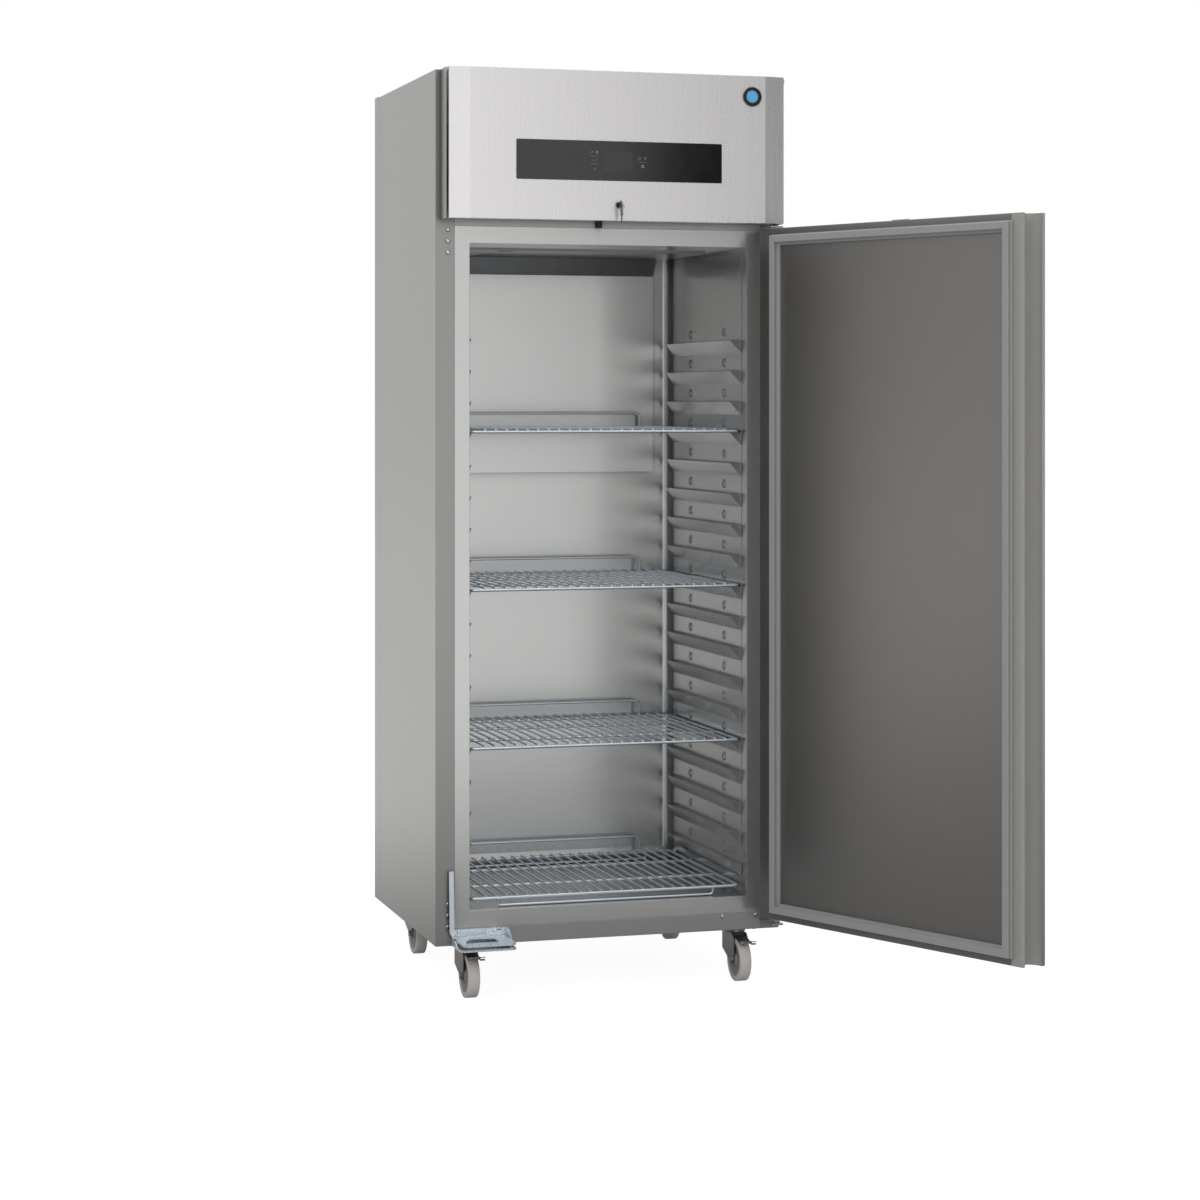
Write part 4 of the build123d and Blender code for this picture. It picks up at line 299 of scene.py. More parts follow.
class RefrigeratorControls(bpy.types.PropertyGroup):
    """Touch panel and badge"""

    glass: bpy.props.StringProperty(
        name="Glass", description="Black print behind the glass", default="#101011"
    )
    window: bpy.props.StringProperty(
        name="Window", description="Display window, a little paler", default="#1c1d1d"
    )
    marks: bpy.props.StringProperty(name="Marks", description="Printed touch marks", default="#8e8e8e")
    badge_blue: bpy.props.StringProperty(
        name="Badge", description="Field of the round badge", default="#4d9cc9"
    )


class RefrigeratorDoor(bpy.types.PropertyGroup):
    """Door seal"""

    seal: bpy.props.StringProperty(name="Seal", description="Colour of the door seal", default="#8b8b8b")
    seal_width: bpy.props.FloatProperty(
        name="Seal width", description="Width of the seal's band", default=0.0245, unit="LENGTH"
    )


class RefrigeratorCastors(bpy.types.PropertyGroup):
    """Castors and pedal"""

    tread: bpy.props.StringProperty(name="Tread", description="Colour of the wheel tread", default="#b9b6b3")
    # The core's colour is made darker than the tread as painted shade on the wheel's sides
    core: bpy.props.StringProperty(name="Core", description="Colour of the wheel sides", default="#7d7a76")
    fork: bpy.props.StringProperty(name="Fork", description="Steel of the castor forks", default="#a3a09c")
    zinc: bpy.props.StringProperty(name="Zinc", description="Zinc plate of the pedal", default="#dbe5ec")


class RefrigeratorStage(bpy.types.PropertyGroup):
    """Camera and light"""

    camera_place: bpy.props.FloatVectorProperty(
        name="Camera", description="Place of the camera", default=(-1.839, -6.457, 1.355), unit="LENGTH"
    )
    yaw: bpy.props.FloatProperty(
        name="Yaw",
        description="Turn of the camera to the right of straight ahead",
        default=math.radians(16.5),
        subtype="ANGLE",
    )
    focal_px: bpy.props.FloatProperty(
        name="Focal length", description="Focal length in pixels of a 1200 pixel frame", default=2792.0
    )
    horizon_px: bpy.props.FloatProperty(
        name="Horizon", description="Row of the horizon in a 1200 pixel frame", default=400.0
    )
    key_power: bpy.props.FloatProperty(
        name="Key", description="Power of the main lamp", default=120.0, unit="POWER"
    )
    fill_power: bpy.props.FloatProperty(
        name="Fill", description="Power of each of the other lamps", default=50.0, unit="POWER"
    )


# Materials, each named after the real one


def brushed_stainless(name, hex_colour, along, roughness=0.34, spread=0.03, darkest_painted_shade=0.45, painted_shade_reach_mm=16.0):
    """Stainless sheet, brushed along one axis: fine long scratches, soft folds and painted shade in inner
    corners.
    """
    steel = bpy.context.scene.refrigerator_steel
    size = [steel.grain_mm] * 3
    size["XYZ".index(along)] = LONG_GRAIN_MM
    colour = linear(hex_colour)
    material, shader = new_material(name, colour, 0.92, roughness)
    vary(material, shader, colour, size, spread, spread, 0.2 * spread)
    # Painted shade: the colour darkens in folds, seams and gaps
    paint_shade_in_corners(material, shader, painted_shade_reach_mm, darkest_painted_shade)
    fold = add_node(material, "ShaderNodeBevel", [("Radius", steel.fold_mm * MM)], samples=FINE_SAMPLES)
    bump = shader.inputs["Normal"].links[0].from_node
    material.node_tree.links.new(fold.outputs["Normal"], bump.inputs["Normal"])
    return material


def zinc_plate(name, hex_colour):
    """Bright zinc plate on pressed steel: bluish, with a faint cloudy spangle."""
    colour = linear(hex_colour)
    material, shader = new_material(name, colour, 0.7, 0.3)
    vary(material, shader, colour, (6, 6, 6), 0.05, 0.05, 0.01)
    # Painted shade in the pressing's folds and gaps
    paint_shade_in_corners(material, shader, 5.0, 0.6)
    return material


def moulded_plastic(name, hex_colour, roughness=0.5, grain_mm=0.8):
    """Moulded plastic or rubber: a dull skin with a fine even grain."""
    colour = linear(hex_colour)
    material, shader = new_material(name, colour, 0.0, roughness, IOR=1.48)
    vary(material, shader, colour, (grain_mm,) * 3, 0.06, 0.04, 0.03)
    return material


def smoked_glass(name, hex_colour):
    """Black glass over a print: a mirror-smooth face whose faint smears change its gloss a little."""
    colour = linear(hex_colour)
    material, shader = new_material(name, colour, 0.0, 0.06, IOR=1.6)
    vary(material, shader, colour, (30, 30, 30), 0.1, 0.02)
    return material


def plated_steel(name, hex_colour, roughness=0.18, darkest_painted_shade=0.3):
    """Bright nickel or chromium plate: smooth, with faint handling marks that break up its gloss."""
    colour = linear(hex_colour)
    material, shader = new_material(name, colour, 1.0, roughness)
    vary(material, shader, colour, (9, 9, 9), 0.03, 0.05)
    # Painted shade where other faces stand close
    paint_shade_in_corners(material, shader, 5.0, darkest_painted_shade)
    return material


def domed_steel_painted_reflection(name, hex_colour):
    """Polished dome heads, whose lower side is painted near black as a painted reflection of dark things near
    the floor.
    """
    material = plated_steel(name, hex_colour, 0.15, 0.5)
    shader = material.node_tree.nodes["Principled BSDF"]
    # Painted reflection: the colour falls near black where the surface faces down
    facing = add_node(material, "ShaderNodeTexCoord").outputs["Normal"]
    upward = add_node(material, "ShaderNodeSeparateXYZ", [("Vector", facing)])
    level = add_node(
        material,
        "ShaderNodeMapRange",
        [("Value", upward.outputs["Z"]), ("From Min", -0.5), ("From Max", -0.1), ("To Min", 0.04)],
    )
    shade_colour(material, shader, level.outputs["Result"])
    return material


class REFRIGERATOR_OT_steel(bpy.types.Operator):
    """Finishes the sheet steel of the case, cavity, door and header"""

    bl_idname = "refrigerator.steel"
    bl_label = "Sheet steel"

    def execute(self, context):
        steel = context.scene.refrigerator_steel
        case = brushed_stainless("brushed_stainless_case", steel.case, "Z")
        dress(["outer_side_left", "outer_side_right", "rear_panel", "header_side_plates"], case)
        flat = brushed_stainless("brushed_stainless_top", steel.front, "X")
        dress(["top_cover", "unit_tray"], flat)
        dress(["base_pan"], brushed_stainless("brushed_stainless_apron", steel.apron, "X"))
        dress(["door_skin"], brushed_stainless("brushed_stainless_front", steel.front, "Z"))
        # The header's paler steel is painted light
        dress(["fascia"], brushed_stainless("brushed_stainless_header_painted_light", steel.header, "Z", 0.28, 0.02, 0.6))
        cavity = brushed_stainless("brushed_stainless_cavity", steel.cavity, "Z", 0.25, 0.008, 0.35, 40.0)
        dress(["inner_liner", "air_duct_cover"], cavity)
        # The ceiling's darker steel is painted shade
        ceiling = brushed_stainless("brushed_stainless_ceiling_painted_shade", steel.ceiling, "X", 0.3, 0.02)
        dress(["ceiling_panel"], ceiling)
        racks = brushed_stainless("brushed_stainless_racks", steel.cavity, "Y", 0.25, 0.008, 0.2, 7.0)
        dress(["rack_left", "rack_right"], racks)
        inside = brushed_stainless("brushed_stainless_door_inside", steel.door_inside, "Z", 0.30, 0.02)
        dress(["door_liner"], inside)
        foam = moulded_plastic("polyurethane_foam", "#d9c48f", 0.8, 3.0)
        dress(["insulation_foam", "door_foam"], foam)
        dress(["door_grip"], moulded_plastic("grey_grip_profile", "#8f8e8b", 0.4))
        return {"FINISHED"}


# Section of the door seal: inset from the outer edge and rise above the door, as fractions of the band
SEAL_SECTION = (
    (0.00, 0.00), (0.00, 0.30), (0.10, 0.36), (0.10, 0.52), (0.20, 0.60), (0.10, 0.68),
    (0.10, 0.92), (0.16, 1.00), (0.70, 1.00), (0.76, 0.92), (0.76, 0.72), (0.66, 0.62),
    (0.76, 0.52), (0.76, 0.38), (0.86, 0.30), (1.00, 0.26), (1.00, 0.00),
)


class REFRIGERATOR_OT_door_seal(bpy.types.Operator):
    """Makes the ribbed magnetic seal round the inside of the door"""

    bl_idname = "refrigerator.door_seal"
    bl_label = "Door seal"

    def execute(self, context):
        door = context.scene.refrigerator_door
        place = door_matrix()
        inverse = place.inverted()
        corners = [inverse @ v.co for v in frame["nodes"]["door_gasket"].data.vertices]
        low = Vector([min(c[i] for c in corners) for i in range(3)])
        high = Vector([max(c[i] for c in corners) for i in range(3)])
        deep = high.y - low.y
        wide = door.seal_width
        bm = bmesh.new()
        rings = []
        for along, up in ((low.x, low.z), (high.x, low.z), (high.x, high.z), (low.x, high.z)):
            x_in = 1 if along == low.x else -1
            z_in = 1 if up == low.z else -1
            points = [
                bm.verts.new((along + x_in * inset * wide, high.y - rise * deep, up + z_in * inset * wide))
                for inset, rise in SEAL_SECTION
            ]
            rings.append([bm.edges.new(pair) for pair in zip(points, points[1:] + points[:1])])
        for near, far in zip(rings, rings[1:] + rings[:1]):
            bmesh.ops.bridge_loops(bm, edges=near + far)
        seal = moulded_plastic("grey_pvc_seal", door.seal, 0.55, 1.5)
        piece = finish_piece(bm, "door_seal", "door", [seal], place, smooth=20)
        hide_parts("door_gasket")
        dress(["door_bushes"], moulded_plastic("black_nylon", "#202020", 0.45))
        return {"FINISHED"}


# Touch panel, in mm: its rounding, and how far its window and marks stand out of the glass and sink into it
PANEL_CORNER = 3.0
PANEL_EDGE = 0.3
WINDOW_PROUD = 0.05
MARKS_PROUD = 0.07
PRINT_DEPTH = 0.4
WINDOW_CORNERS = ((-38.4, 1872.4), (31.4, 1917.5))  # (X, Z)
MARKS_LEFT_X = -60.5
MARKS_RIGHT_X = 53.0
LEFT_SIGN_Z = 1915.0
POWER_SIGN_Z = 1884.7
RING_HOLE = 0.66  # share of a printed ring's radius


class REFRIGERATOR_OT_control_panel(bpy.types.Operator):
    """Makes the touch panel with its display window and printed marks"""

    bl_idname = "refrigerator.control_panel"
    bl_label = "Control panel"

    def execute(self, context):
        controls = context.scene.refrigerator_controls
        low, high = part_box("control_glass")
        bm = bmesh.new()
        add_block(bm, low, high)
        upright = [e for e in bm.edges if abs((e.verts[0].co - e.verts[1].co).y) > (high.y - low.y) / 2]
        round_edges(bm, upright, PANEL_CORNER * MM, 4)
        face = min(bm.faces, key=lambda f: f.calc_center_median().y)
        round_edges(bm, face.edges, PANEL_EDGE * MM, 2)
        glass = smoked_glass("smoked_glass", controls.glass)
        piece = finish_piece(bm, "touch_panel", "header", [glass])
        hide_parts("control_glass")

        bm = bmesh.new()
        window_y = low.y - WINDOW_PROUD * MM
        marks_y = low.y - MARKS_PROUD * MM
        depth = PRINT_DEPTH * MM
        (left, bottom), (right, top) = WINDOW_CORNERS
        near = (left * MM, window_y, bottom * MM)
        far = (right * MM, window_y + depth, top * MM)
        add_block(bm, near, far, 1)
        for start, end, width in touch_strokes():
            add_stroke(bm, start, end, width, marks_y, depth)
        for x, z, radius in touch_rings():
            hole = radius * RING_HOLE
            outline = ((radius, 0), (radius, PRINT_DEPTH), (hole, PRINT_DEPTH), (hole, 0))
            add_turned(bm, scaled(outline, MM, MM), (x * MM, marks_y, z * MM), (0, 1, 0), 20)
        marks = moulded_plastic("touch_mark_print", controls.marks, 0.5)
        window = smoked_glass("display_window", controls.window)
        finish_piece(bm, "touch_marks", "header", [marks, window])
        return {"FINISHED"}


def touch_strokes():
    """Printed strokes of the touch panel as (start, end, width), each end an (X, Z) in mm."""
    left, right = MARKS_LEFT_X, MARKS_RIGHT_X
    # Rules between the signs
    strokes = [((left - 9.5, z), (left + 9.5, z), 0.9) for z in (1905.5, 1887.8)]
    strokes.append(((right - 9.5, 1894.4), (right + 9.5, 1894.4), 0.9))
    # Arrow up and arrow down
    for x, z, rise in ((left - 5.5, 1912.0, 5.5), (left, 1879.6, -5.5)):
        strokes += [((x + side * 3.6, z), (x, z + rise), 1.1) for side in (-1, 1)]
    # Three short bars, and the dash beside the left ring
    strokes += [((left + x, 1895.0), (left + x, 1897.6), 1.6) for x in (-3.6, 0, 3.6)]
    strokes.append(((left + 4.0, 1911.0), (left + 7.0, 1911.0), 1.0))
    # Small square
    strokes += [((right - 7.5 + x, 1900.6), (right - 7.5 + x, 1905.6), 0.9) for x in (-2.4, 2.4)]
    strokes += [((right - 9.9, z), (right - 5.1, z), 0.9) for z in (1900.6, 1905.6)]
    # Star of three crossed strokes
    for turn in (0, 60, 120):
        reach = Vector((math.cos(math.radians(turn)), math.sin(math.radians(turn)))) * 2.9
        centre = Vector((right + 6.0, 1903.1))
        strokes.append((tuple(centre - reach), tuple(centre + reach), 0.9))
    # Bar of the power sign
    strokes.append(((right, POWER_SIGN_Z), (right, POWER_SIGN_Z + 4.5), 0.9))
    return strokes


def touch_rings():
    """Printed rings of the touch panel as (X, Z, radius) in mm."""
    return (MARKS_LEFT_X + 5.5, LEFT_SIGN_Z, 2.5), (MARKS_RIGHT_X, POWER_SIGN_Z, 3.4)


# Half section of the round badge, as fractions of its radius and thickness: a rim, a groove and a raised ring
BADGE_SECTION = (
    (0.0, 0.0), (1.0, 0.0), (1.0, 0.6), (0.97, 1.0), (0.93, 1.0), (0.91, 0.8), (0.64, 0.8), (0.62, 0.95),
    (0.59, 0.95), (0.57, 0.7), (0.3, 0.78), (0.0, 0.8),
)
BADGE_RIM_START = 0.92
BADGE_RING_START = 0.63
BADGE_FIELD_END = 0.575


class REFRIGERATOR_OT_badge(bpy.types.Operator):
    """Makes the plain round badge with its rim"""

    bl_idname = "refrigerator.badge"
    bl_label = "Badge"

    def execute(self, context):
        low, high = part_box("badge")
        radius = (high.x - low.x) / 2
        thick = high.y - low.y
        centre = Vector(((low.x + high.x) / 2, high.y, (low.z + high.z) / 2))
        rim = plated_steel("chromed_rim", "#9ba1a6", 0.2)
        ring = moulded_plastic("black_enamel_ring", "#0f1012", 0.25, 3.0)
        blue = moulded_plastic("blue_enamel", context.scene.refrigerator_controls.badge_blue, 0.2, 4.0)
        bm = bmesh.new()
        add_turned(bm, scaled(BADGE_SECTION, radius, thick), centre, (0, -1, 0), 64)
        for face in bm.faces:
            reach = face.calc_center_median() - centre
            span = Vector((reach.x, 0, reach.z)).length / radius
            if reach.y < -thick / 2 and span < BADGE_RIM_START:
                face.material_index = 1 if span > BADGE_RING_START else 2 if span < BADGE_FIELD_END else 0
        bmesh.ops.remove_doubles(bm, verts=bm.verts, dist=SAME_PLACE)
        piece = finish_piece(bm, "round_badge", "header", [rim, ring, blue])
        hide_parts("badge")
        dress(["control_board"], moulded_plastic("green_circuit_board", "#1d5a38", 0.4))
        return {"FINISHED"}


class REFRIGERATOR_OT_lock(bpy.types.Operator):
    """Finishes the lock, its keys and the keeper on the door"""

    bl_idname = "refrigerator.lock"
    bl_label = "Lock and keys"

    def execute(self, context):
        dress(["lock_housing"], plated_steel("chromed_lock", "#d2d2d2", 0.12, 0.1))
        dress(["lock_plug"], plated_steel("dark_lock_plug", "#6c6c6b", 0.2, 0.1))
        dress(["key", "key_ring"], plated_steel("nickel_silver_key", "#8f8c85", 0.2, 0.1))
        dress(["door_keeper"], plated_steel("polished_keeper", "#c2c3c4", 0.25))
        return {"FINISHED"}


class REFRIGERATOR_OT_shelves(bpy.types.Operator):
    """Finishes the welded wire shelves"""

    bl_idname = "refrigerator.shelves"
    bl_label = "Shelves"

    def execute(self, context):
        dress(SHELVES, plated_steel("plated_shelf_wire", "#d6dfe8", 0.32, 0.55))
        return {"FINISHED"}


class REFRIGERATOR_OT_pedal(bpy.types.Operator):
    """Finishes the foot pedal and its lever"""

    bl_idname = "refrigerator.pedal"
    bl_label = "Foot pedal"

    def execute(self, context):
        zinc = zinc_plate("zinc_plate_pedal", context.scene.refrigerator_castors.zinc)
        dress(["pedal_bracket", "foot_pedal"], zinc)
        dress(["pedal_lever"], brushed_stainless("zinc_plate_lever", "#dfe6ee", "Z"))
        return {"FINISHED"}


# Half sections of a castor's wheel, as fractions of its radius and half width, and of an axle cap, in mm
TREAD_SECTION = (
    (0.74, -0.60), (0.76, -0.84), (0.95, -0.90), (0.985, -0.86), (1.0, -0.78), (1.0, 0.0), (1.0, 0.78),
    (0.985, 0.86), (0.95, 0.90), (0.76, 0.84), (0.74, 0.60),
)
CORE_SECTION = (
    (0.105, -0.98), (0.24, -0.98), (0.27, -0.86), (0.34, -0.66), (0.60, -0.62), (0.70, -0.76), (0.755, -0.80),
    (0.755, 0.80), (0.70, 0.76), (0.60, 0.62), (0.34, 0.66), (0.27, 0.86), (0.24, 0.98), (0.105, 0.98),
)
CAP_SECTION = ((0.0, -1.0), (6.4, -1.0), (6.4, 0.0), (5.6, 1.2), (3.6, 2.0), (0.0, 2.4))
CAP_INSET = 2.5  # mm, from the end of the axle to the foot of the cap's dome
WHEEL_STEPS = 72


class REFRIGERATOR_OT_castors(bpy.types.Operator):
    """Makes the castor wheels with their treads, cores and caps"""

    bl_idname = "refrigerator.castors"
    bl_label = "Castors"

    def execute(self, context):
        castors = context.scene.refrigerator_castors
        tread = moulded_plastic("grey_rubber_tread", castors.tread, 0.6, 2.0)
        # The core's darker grey is painted shade on the wheel's sides
        core = moulded_plastic("grey_wheel_core", castors.core, 0.45)
        cap = plated_steel("bright_axle_cap", "#e2e4e6", 0.2)
        for corner in CORNERS:
            node = f"castor_wheel_{corner}"
            wheel = f"wheel_{corner}"
            low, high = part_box(node)
            centre = (low + high) / 2
            radius = (high.z - low.z) / 2
            half = (high.x - low.x) / 2
            bm = bmesh.new()
            add_turned(bm, scaled(TREAD_SECTION, radius, half), centre, (1, 0, 0), WHEEL_STEPS)
            tyre = finish_piece(bm, f"wheel_tread_{corner}", wheel, [tread], smooth=50)
            bm = bmesh.new()
            add_turned(bm, scaled(CORE_SECTION, radius, half), centre, (1, 0, 0), WHEEL_STEPS)
            finish_piece(bm, f"wheel_core_{corner}", wheel, [core])
            add_axle_caps(corner, cap)
            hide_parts(node)
        fork = brushed_stainless("pressed_steel_fork", castors.fork, "Z", 0.34)
        dress([f"castor_fork_{corner}" for corner in CORNERS] + ["castor_plates"], fork)
        brake = brushed_stainless("polished_steel_brake", "#a5a29e", "Y", 0.2)
        dress(["castor_brake_front_left", "castor_brake_front_right"], brake)
        return {"FINISHED"}


def add_axle_caps(corner, material):
    """The domed caps on both ends of a castor's axle."""
    low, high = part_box(f"castor_fork_{corner}")
    axle = pivot(f"wheel_{corner}_roll")
    bm = bmesh.new()
    for end, side in ((low.x, -1), (high.x, 1)):
        centre = (end - side * CAP_INSET * MM, axle.y, axle.z)
        add_turned(bm, scaled(CAP_SECTION, MM, MM), centre, (side, 0, 0), 24)
    bmesh.ops.remove_doubles(bm, verts=bm.verts, dist=SAME_PLACE)
    finish_piece(bm, f"axle_caps_{corner}", f"castor_{corner}", [material])


class REFRIGERATOR_OT_unit(bpy.types.Operator):
    """Finishes the refrigeration unit behind the header"""

    bl_idname = "refrigerator.unit"
    bl_label = "Refrigeration unit"

    def execute(self, context):
        black_paint = linear("#1c1c1c")
        enamel, shader = new_material("black_enamel", black_paint, 0.0, 0.3, IOR=1.5, Coat_Weight=0.3)
        vary(enamel, shader, black_paint, (5, 5, 5), 0.15, 0.05, 0.05)
        dress(["compressor"], enamel)
        fins = plated_steel("aluminium_fins", "#c9cbcc", 0.35)
        dress(["condenser_coil", "evaporator_coil"], fins)
        black = moulded_plastic("black_polypropylene", "#262626", 0.5)
        dress(["fan_shroud", "condenser_fan", "evaporator_fan", "door_switch"], black)
        dress(["fan_motors"], zinc_plate("grey_motor_cast", "#7d8184"))
        dress(["refrigerant_lines"], plated_steel("drawn_copper_tube", "#c98a62", 0.28))
        dress(["control_box"], moulded_plastic("grey_abs_box", "#6d7073", 0.5))
        return {"FINISHED"}


class REFRIGERATOR_OT_fittings(bpy.types.Operator):
    """Finishes hinges, screws and plugs"""

    bl_idname = "refrigerator.fittings"
    bl_label = "Fittings"

    def execute(self, context):
        steel = plated_steel("polished_hinge_steel", "#c4c5c6", 0.3)
        dress(["hinge_bracket_bottom", "hinge_bracket_top"], steel)
        # Screw heads and plugs carry a painted dark reflection on their lower side
        dress(["cabinet_screws"], domed_steel_painted_reflection("polished_screw_head", "#f0f0f0"))
        dress(["blanking_plugs"], domed_steel_painted_reflection("polished_plug", "#c9c7c5"))
        return {"FINISHED"}


# What polished metal sees round the horizon: degrees to the right of straight ahead, and its level
SURROUND = (
    (-180, 0.84), (-140, 0.84), (-110, 0.42), (-75, 0.42), (-50, 0.10), (-15, 0.06), (-9, 1.05), (17.4, 1.05),
    (18.4, 0.03), (27, 0.04), (32, 0.16), (60, 0.22), (85, 0.70), (125, 0.85), (180, 0.84),
)
OVERHEAD = (1.5, 1.5, 1.5, 1.0)  # what it sees above them
OVERHEAD_START = 0.35  # upward parts of the direction between which one passes into the other
OVERHEAD_FULL = 0.75
ROOM_LIGHT = (0.5, 0.5, 0.5, 1.0)  # what lights dull surfaces
WHITE = (1.0, 1.0, 1.0, 1.0)

# The floor: its size and paint, and how it looks in polished metal, with painted shade round the object and
# brighter farther off
FLOOR_SIZE = 30
FLOOR_PAINT = (0.86, 0.86, 0.86, 1.0)
FLOOR_PAINTED_SHADE_Y = -0.9
FLOOR_PAINTED_SHADE_REACH = 0.6
FLOOR_LIGHT_REACH = 3.4
FLOOR_PAINTED_SHADE_LEVEL = 0.1
FLOOR_LIGHT_LEVEL = 1.1
FLOOR_SHOWN_LEVEL = 1.18
FLOOR_GLOW_SHARE = 0.8  # the rest is painted floor, which takes the shadow


def build_surround(scene):
    """The studio round the object: white to the camera, a soft room with a dark screen to polished metal."""
    world = bpy.data.worlds.new("studio")
    scene.world = world
    world.use_nodes = True
    background = world.node_tree.nodes["Background"]
    way = add_node(world, "ShaderNodeTexCoord").outputs["Generated"]
    split = add_node(world, "ShaderNodeSeparateXYZ", [("Vector", way)])
    forward = [(0, split.outputs["Y"]), (1, -1.0)]
    ahead = add_node(world, "ShaderNodeMath", forward, operation="MULTIPLY")
    bearing = [(0, split.outputs["X"]), (1, ahead.outputs["Value"])]
    angle = add_node(world, "ShaderNodeMath", bearing, operation="ARCTAN2")
    place = add_node(
        world,
        "ShaderNodeMapRange",
        [("Value", angle.outputs["Value"]), ("From Min", -math.pi), ("From Max", math.pi)],
    )
    ramp = add_node(world, "ShaderNodeValToRGB", [("Fac", place.outputs["Result"])])
    stops = ramp.color_ramp.elements
    for degrees, level in SURROUND[1:-1]:
        stops.new(0.5 + degrees / 360)
    for stop, (degrees, level) in zip(stops, SURROUND):
        stop.color = (level, level, level, 1.0)
    high = add_node(
        world,
        "ShaderNodeMapRange",
        [("Value", split.outputs["Z"]), ("From Min", OVERHEAD_START), ("From Max", OVERHEAD_FULL)],
    )
    room = add_node(
        world,
        "ShaderNodeMix",
        [("Factor", high.outputs["Result"]), (6, ramp.outputs["Color"]), (7, OVERHEAD)],
        data_type="RGBA",
    )
    glossy = add_node(world, "ShaderNodeLightPath").outputs["Is Glossy Ray"]
    mirrored = add_node(
        world,
        "ShaderNodeMix",
        [("Factor", glossy), (6, ROOM_LIGHT), (7, room.outputs[2])],
        data_type="RGBA",
    )
    shown = add_node(
        world,
        "ShaderNodeMix",
        [("Factor", seen_directly(world)), (6, mirrored.outputs[2]), (7, WHITE)],
        data_type="RGBA",
    )
    world.node_tree.links.new(shown.outputs[2], background.inputs["Color"])
    background.inputs["Strength"].default_value = 1.0


def build_floor(scene):
    """A pale floor that is white to the camera but keeps a soft shadow, and that polished metal sees with
    painted shade round the object.
    """
    bm = bmesh.new()
    bmesh.ops.create_grid(bm, x_segments=1, y_segments=1, size=FLOOR_SIZE)
    mesh = bpy.data.meshes.new("floor")
    bm.to_mesh(mesh)
    bm.free()
    floor = bpy.data.objects.new("floor", mesh)
    scene.collection.objects.link(floor)
    paint, shader = new_material("pale_studio_floor", FLOOR_PAINT, 0.0, 0.9)
    place = add_node(paint, "ShaderNodeTexCoord").outputs["Object"]
    split = add_node(paint, "ShaderNodeSeparateXYZ", [("Vector", place)])
    # Painted shade: to polished metal the floor glows less the nearer it lies to the object
    away = add_node(paint, "ShaderNodeMath", [(0, split.outputs["Y"]), (1, -FLOOR_PAINTED_SHADE_Y)], operation="ADD")
    away = add_node(paint, "ShaderNodeMath", [(0, away.outputs["Value"])], operation="ABSOLUTE")
    far = add_node(
        paint,
        "ShaderNodeMapRange",
        [("Value", away.outputs["Value"]), ("From Min", FLOOR_PAINTED_SHADE_REACH), ("From Max", FLOOR_LIGHT_REACH)]
        + [("To Min", FLOOR_PAINTED_SHADE_LEVEL), ("To Max", FLOOR_LIGHT_LEVEL)],
    )
    glossy = add_node(paint, "ShaderNodeLightPath").outputs["Is Glossy Ray"]
    mirrored = [(0, glossy), (1, far.outputs["Result"])]
    mirrored = add_node(paint, "ShaderNodeMath", mirrored, operation="MULTIPLY")
    shown = [(0, seen_directly(paint)), (1, FLOOR_SHOWN_LEVEL)]
    shown = add_node(paint, "ShaderNodeMath", shown, operation="MULTIPLY")
    level = [(0, shown.outputs["Value"]), (1, mirrored.outputs["Value"])]
    level = add_node(paint, "ShaderNodeMath", level, operation="MAXIMUM").outputs["Value"]
    glow = add_node(paint, "ShaderNodeEmission", [("Color", WHITE), ("Strength", level)])
    glows = add_node(paint, "ShaderNodeMath", [(0, level), (1, 0.0)], operation="GREATER_THAN")
    share = [(0, glows.outputs["Value"]), (1, FLOOR_GLOW_SHARE)]
    share = add_node(paint, "ShaderNodeMath", share, operation="MULTIPLY")
    blend = add_node(
        paint,
        "ShaderNodeMixShader",
        [("Fac", share.outputs["Value"]), (1, shader.outputs["BSDF"]), (2, glow.outputs["Emission"])],
    )
    output = paint.node_tree.nodes["Material Output"]
    paint.node_tree.links.new(blend.outputs["Shader"], output.inputs["Surface"])
    mesh.materials.append(paint)


SENSOR_WIDTH = 36.0  # mm
PHOTO_PX = 1200


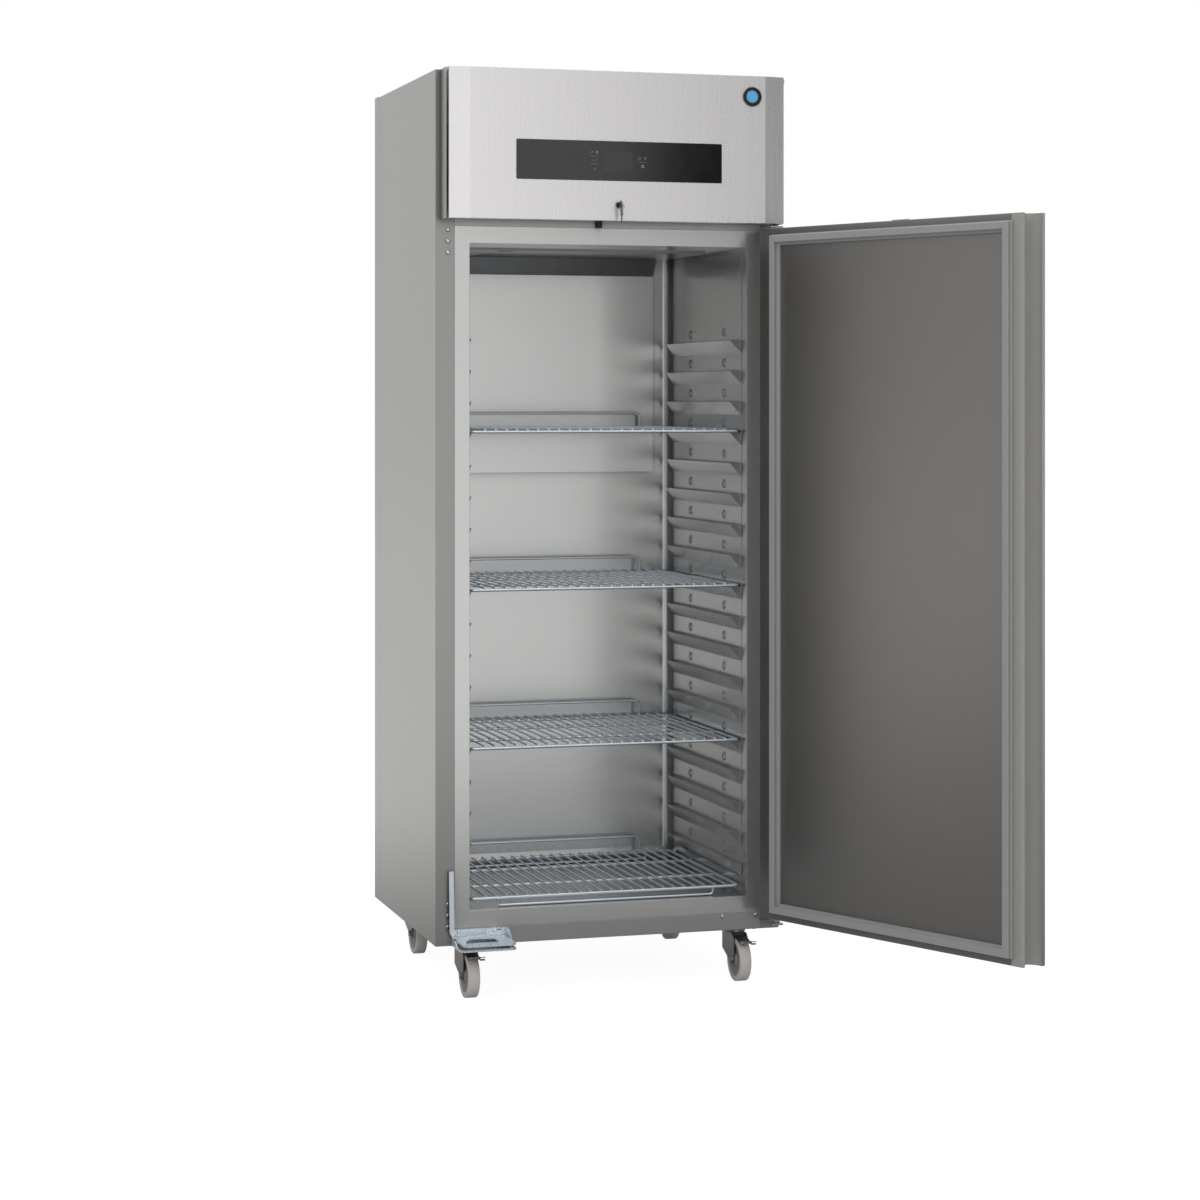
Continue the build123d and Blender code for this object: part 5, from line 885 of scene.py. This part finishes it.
class REFRIGERATOR_OT_stage(bpy.types.Operator):
    """Sets the floor, the lamps, the white surround and the camera"""

    bl_idname = "refrigerator.stage"
    bl_label = "Stage"

    def execute(self, context):
        stage = context.scene.refrigerator_stage
        scene = context.scene
        scene.view_settings.view_transform = "Standard"

        build_surround(scene)
        build_floor(scene)
        # Name, place, aim, width and power
        lamps = [
            ("key_lamp", (-3.6, -4.6, 3.6), (0.0, 0.0, 1.2), 2.6, stage.key_power),
            ("fill_lamp", (2.6, -5.2, 2.4), (0.0, 0.0, 1.0), 2.8, stage.fill_power),
            ("top_lamp", (0.0, -0.6, 4.4), (0.0, 0.0, 1.0), 2.4, stage.fill_power),
        ]
        for name, spot, aim, size, power in lamps:
            light = bpy.data.lights.new(name, "AREA")
            light.shape = "SQUARE"
            light.size = size
            light.energy = power
            lamp = bpy.data.objects.new(name, light)
            lamp.location = spot
            lamp.rotation_euler = (Vector(aim) - Vector(spot)).to_track_quat("-Z", "Y").to_euler()
            lamp.visible_glossy = False
            scene.collection.objects.link(lamp)

        camera = bpy.data.cameras.new("camera")
        camera.sensor_width = SENSOR_WIDTH
        camera.lens = stage.focal_px * SENSOR_WIDTH / PHOTO_PX
        camera.shift_y = (stage.horizon_px - PHOTO_PX / 2) / PHOTO_PX
        camera.clip_end = 100.0
        view = bpy.data.objects.new("camera", camera)
        view.location = stage.camera_place
        view.rotation_euler = (math.radians(90), 0, -stage.yaw)
        scene.collection.objects.link(view)
        scene.camera = view
        return {"FINISHED"}


class REFRIGERATOR_PT_panel(bpy.types.Panel):
    """Lists the settings and pieces of the refrigerator"""

    bl_idname = "REFRIGERATOR_PT_panel"
    bl_label = "Refrigerator"
    bl_space_type = "VIEW_3D"
    bl_region_type = "UI"
    bl_category = "Refrigerator"

    def draw(self, context):
        for name, group in SETTINGS:
            box = self.layout.box()
            box.label(text=group.__doc__)
            for setting in group.__annotations__:
                box.prop(getattr(context.scene, name), setting)
        for operator in OPERATORS:
            self.layout.operator(operator.bl_idname)


SETTINGS = (
    ("refrigerator_steel", RefrigeratorSteel),
    ("refrigerator_controls", RefrigeratorControls),
    ("refrigerator_door", RefrigeratorDoor),
    ("refrigerator_castors", RefrigeratorCastors),
    ("refrigerator_stage", RefrigeratorStage),
)

OPERATORS = (
    REFRIGERATOR_OT_stage,
    REFRIGERATOR_OT_steel,
    REFRIGERATOR_OT_door_seal,
    REFRIGERATOR_OT_control_panel,
    REFRIGERATOR_OT_badge,
    REFRIGERATOR_OT_lock,
    REFRIGERATOR_OT_shelves,
    REFRIGERATOR_OT_pedal,
    REFRIGERATOR_OT_castors,
    REFRIGERATOR_OT_unit,
    REFRIGERATOR_OT_fittings,
)


def register():
    for name, group in SETTINGS:
        bpy.utils.register_class(group)
        setattr(bpy.types.Scene, name, bpy.props.PointerProperty(type=group))
    for operator in OPERATORS:
        bpy.utils.register_class(operator)
    bpy.utils.register_class(REFRIGERATOR_PT_panel)


def unregister():
    bpy.utils.unregister_class(REFRIGERATOR_PT_panel)
    for operator in reversed(OPERATORS):
        bpy.utils.unregister_class(operator)
    for name, group in reversed(SETTINGS):
        delattr(bpy.types.Scene, name)
        bpy.utils.unregister_class(group)


def main():
    register()
    for operator in OPERATORS:
        family, action = operator.bl_idname.split(".")
        getattr(getattr(bpy.ops, family), action)()


if __name__ == "__main__":
    main()
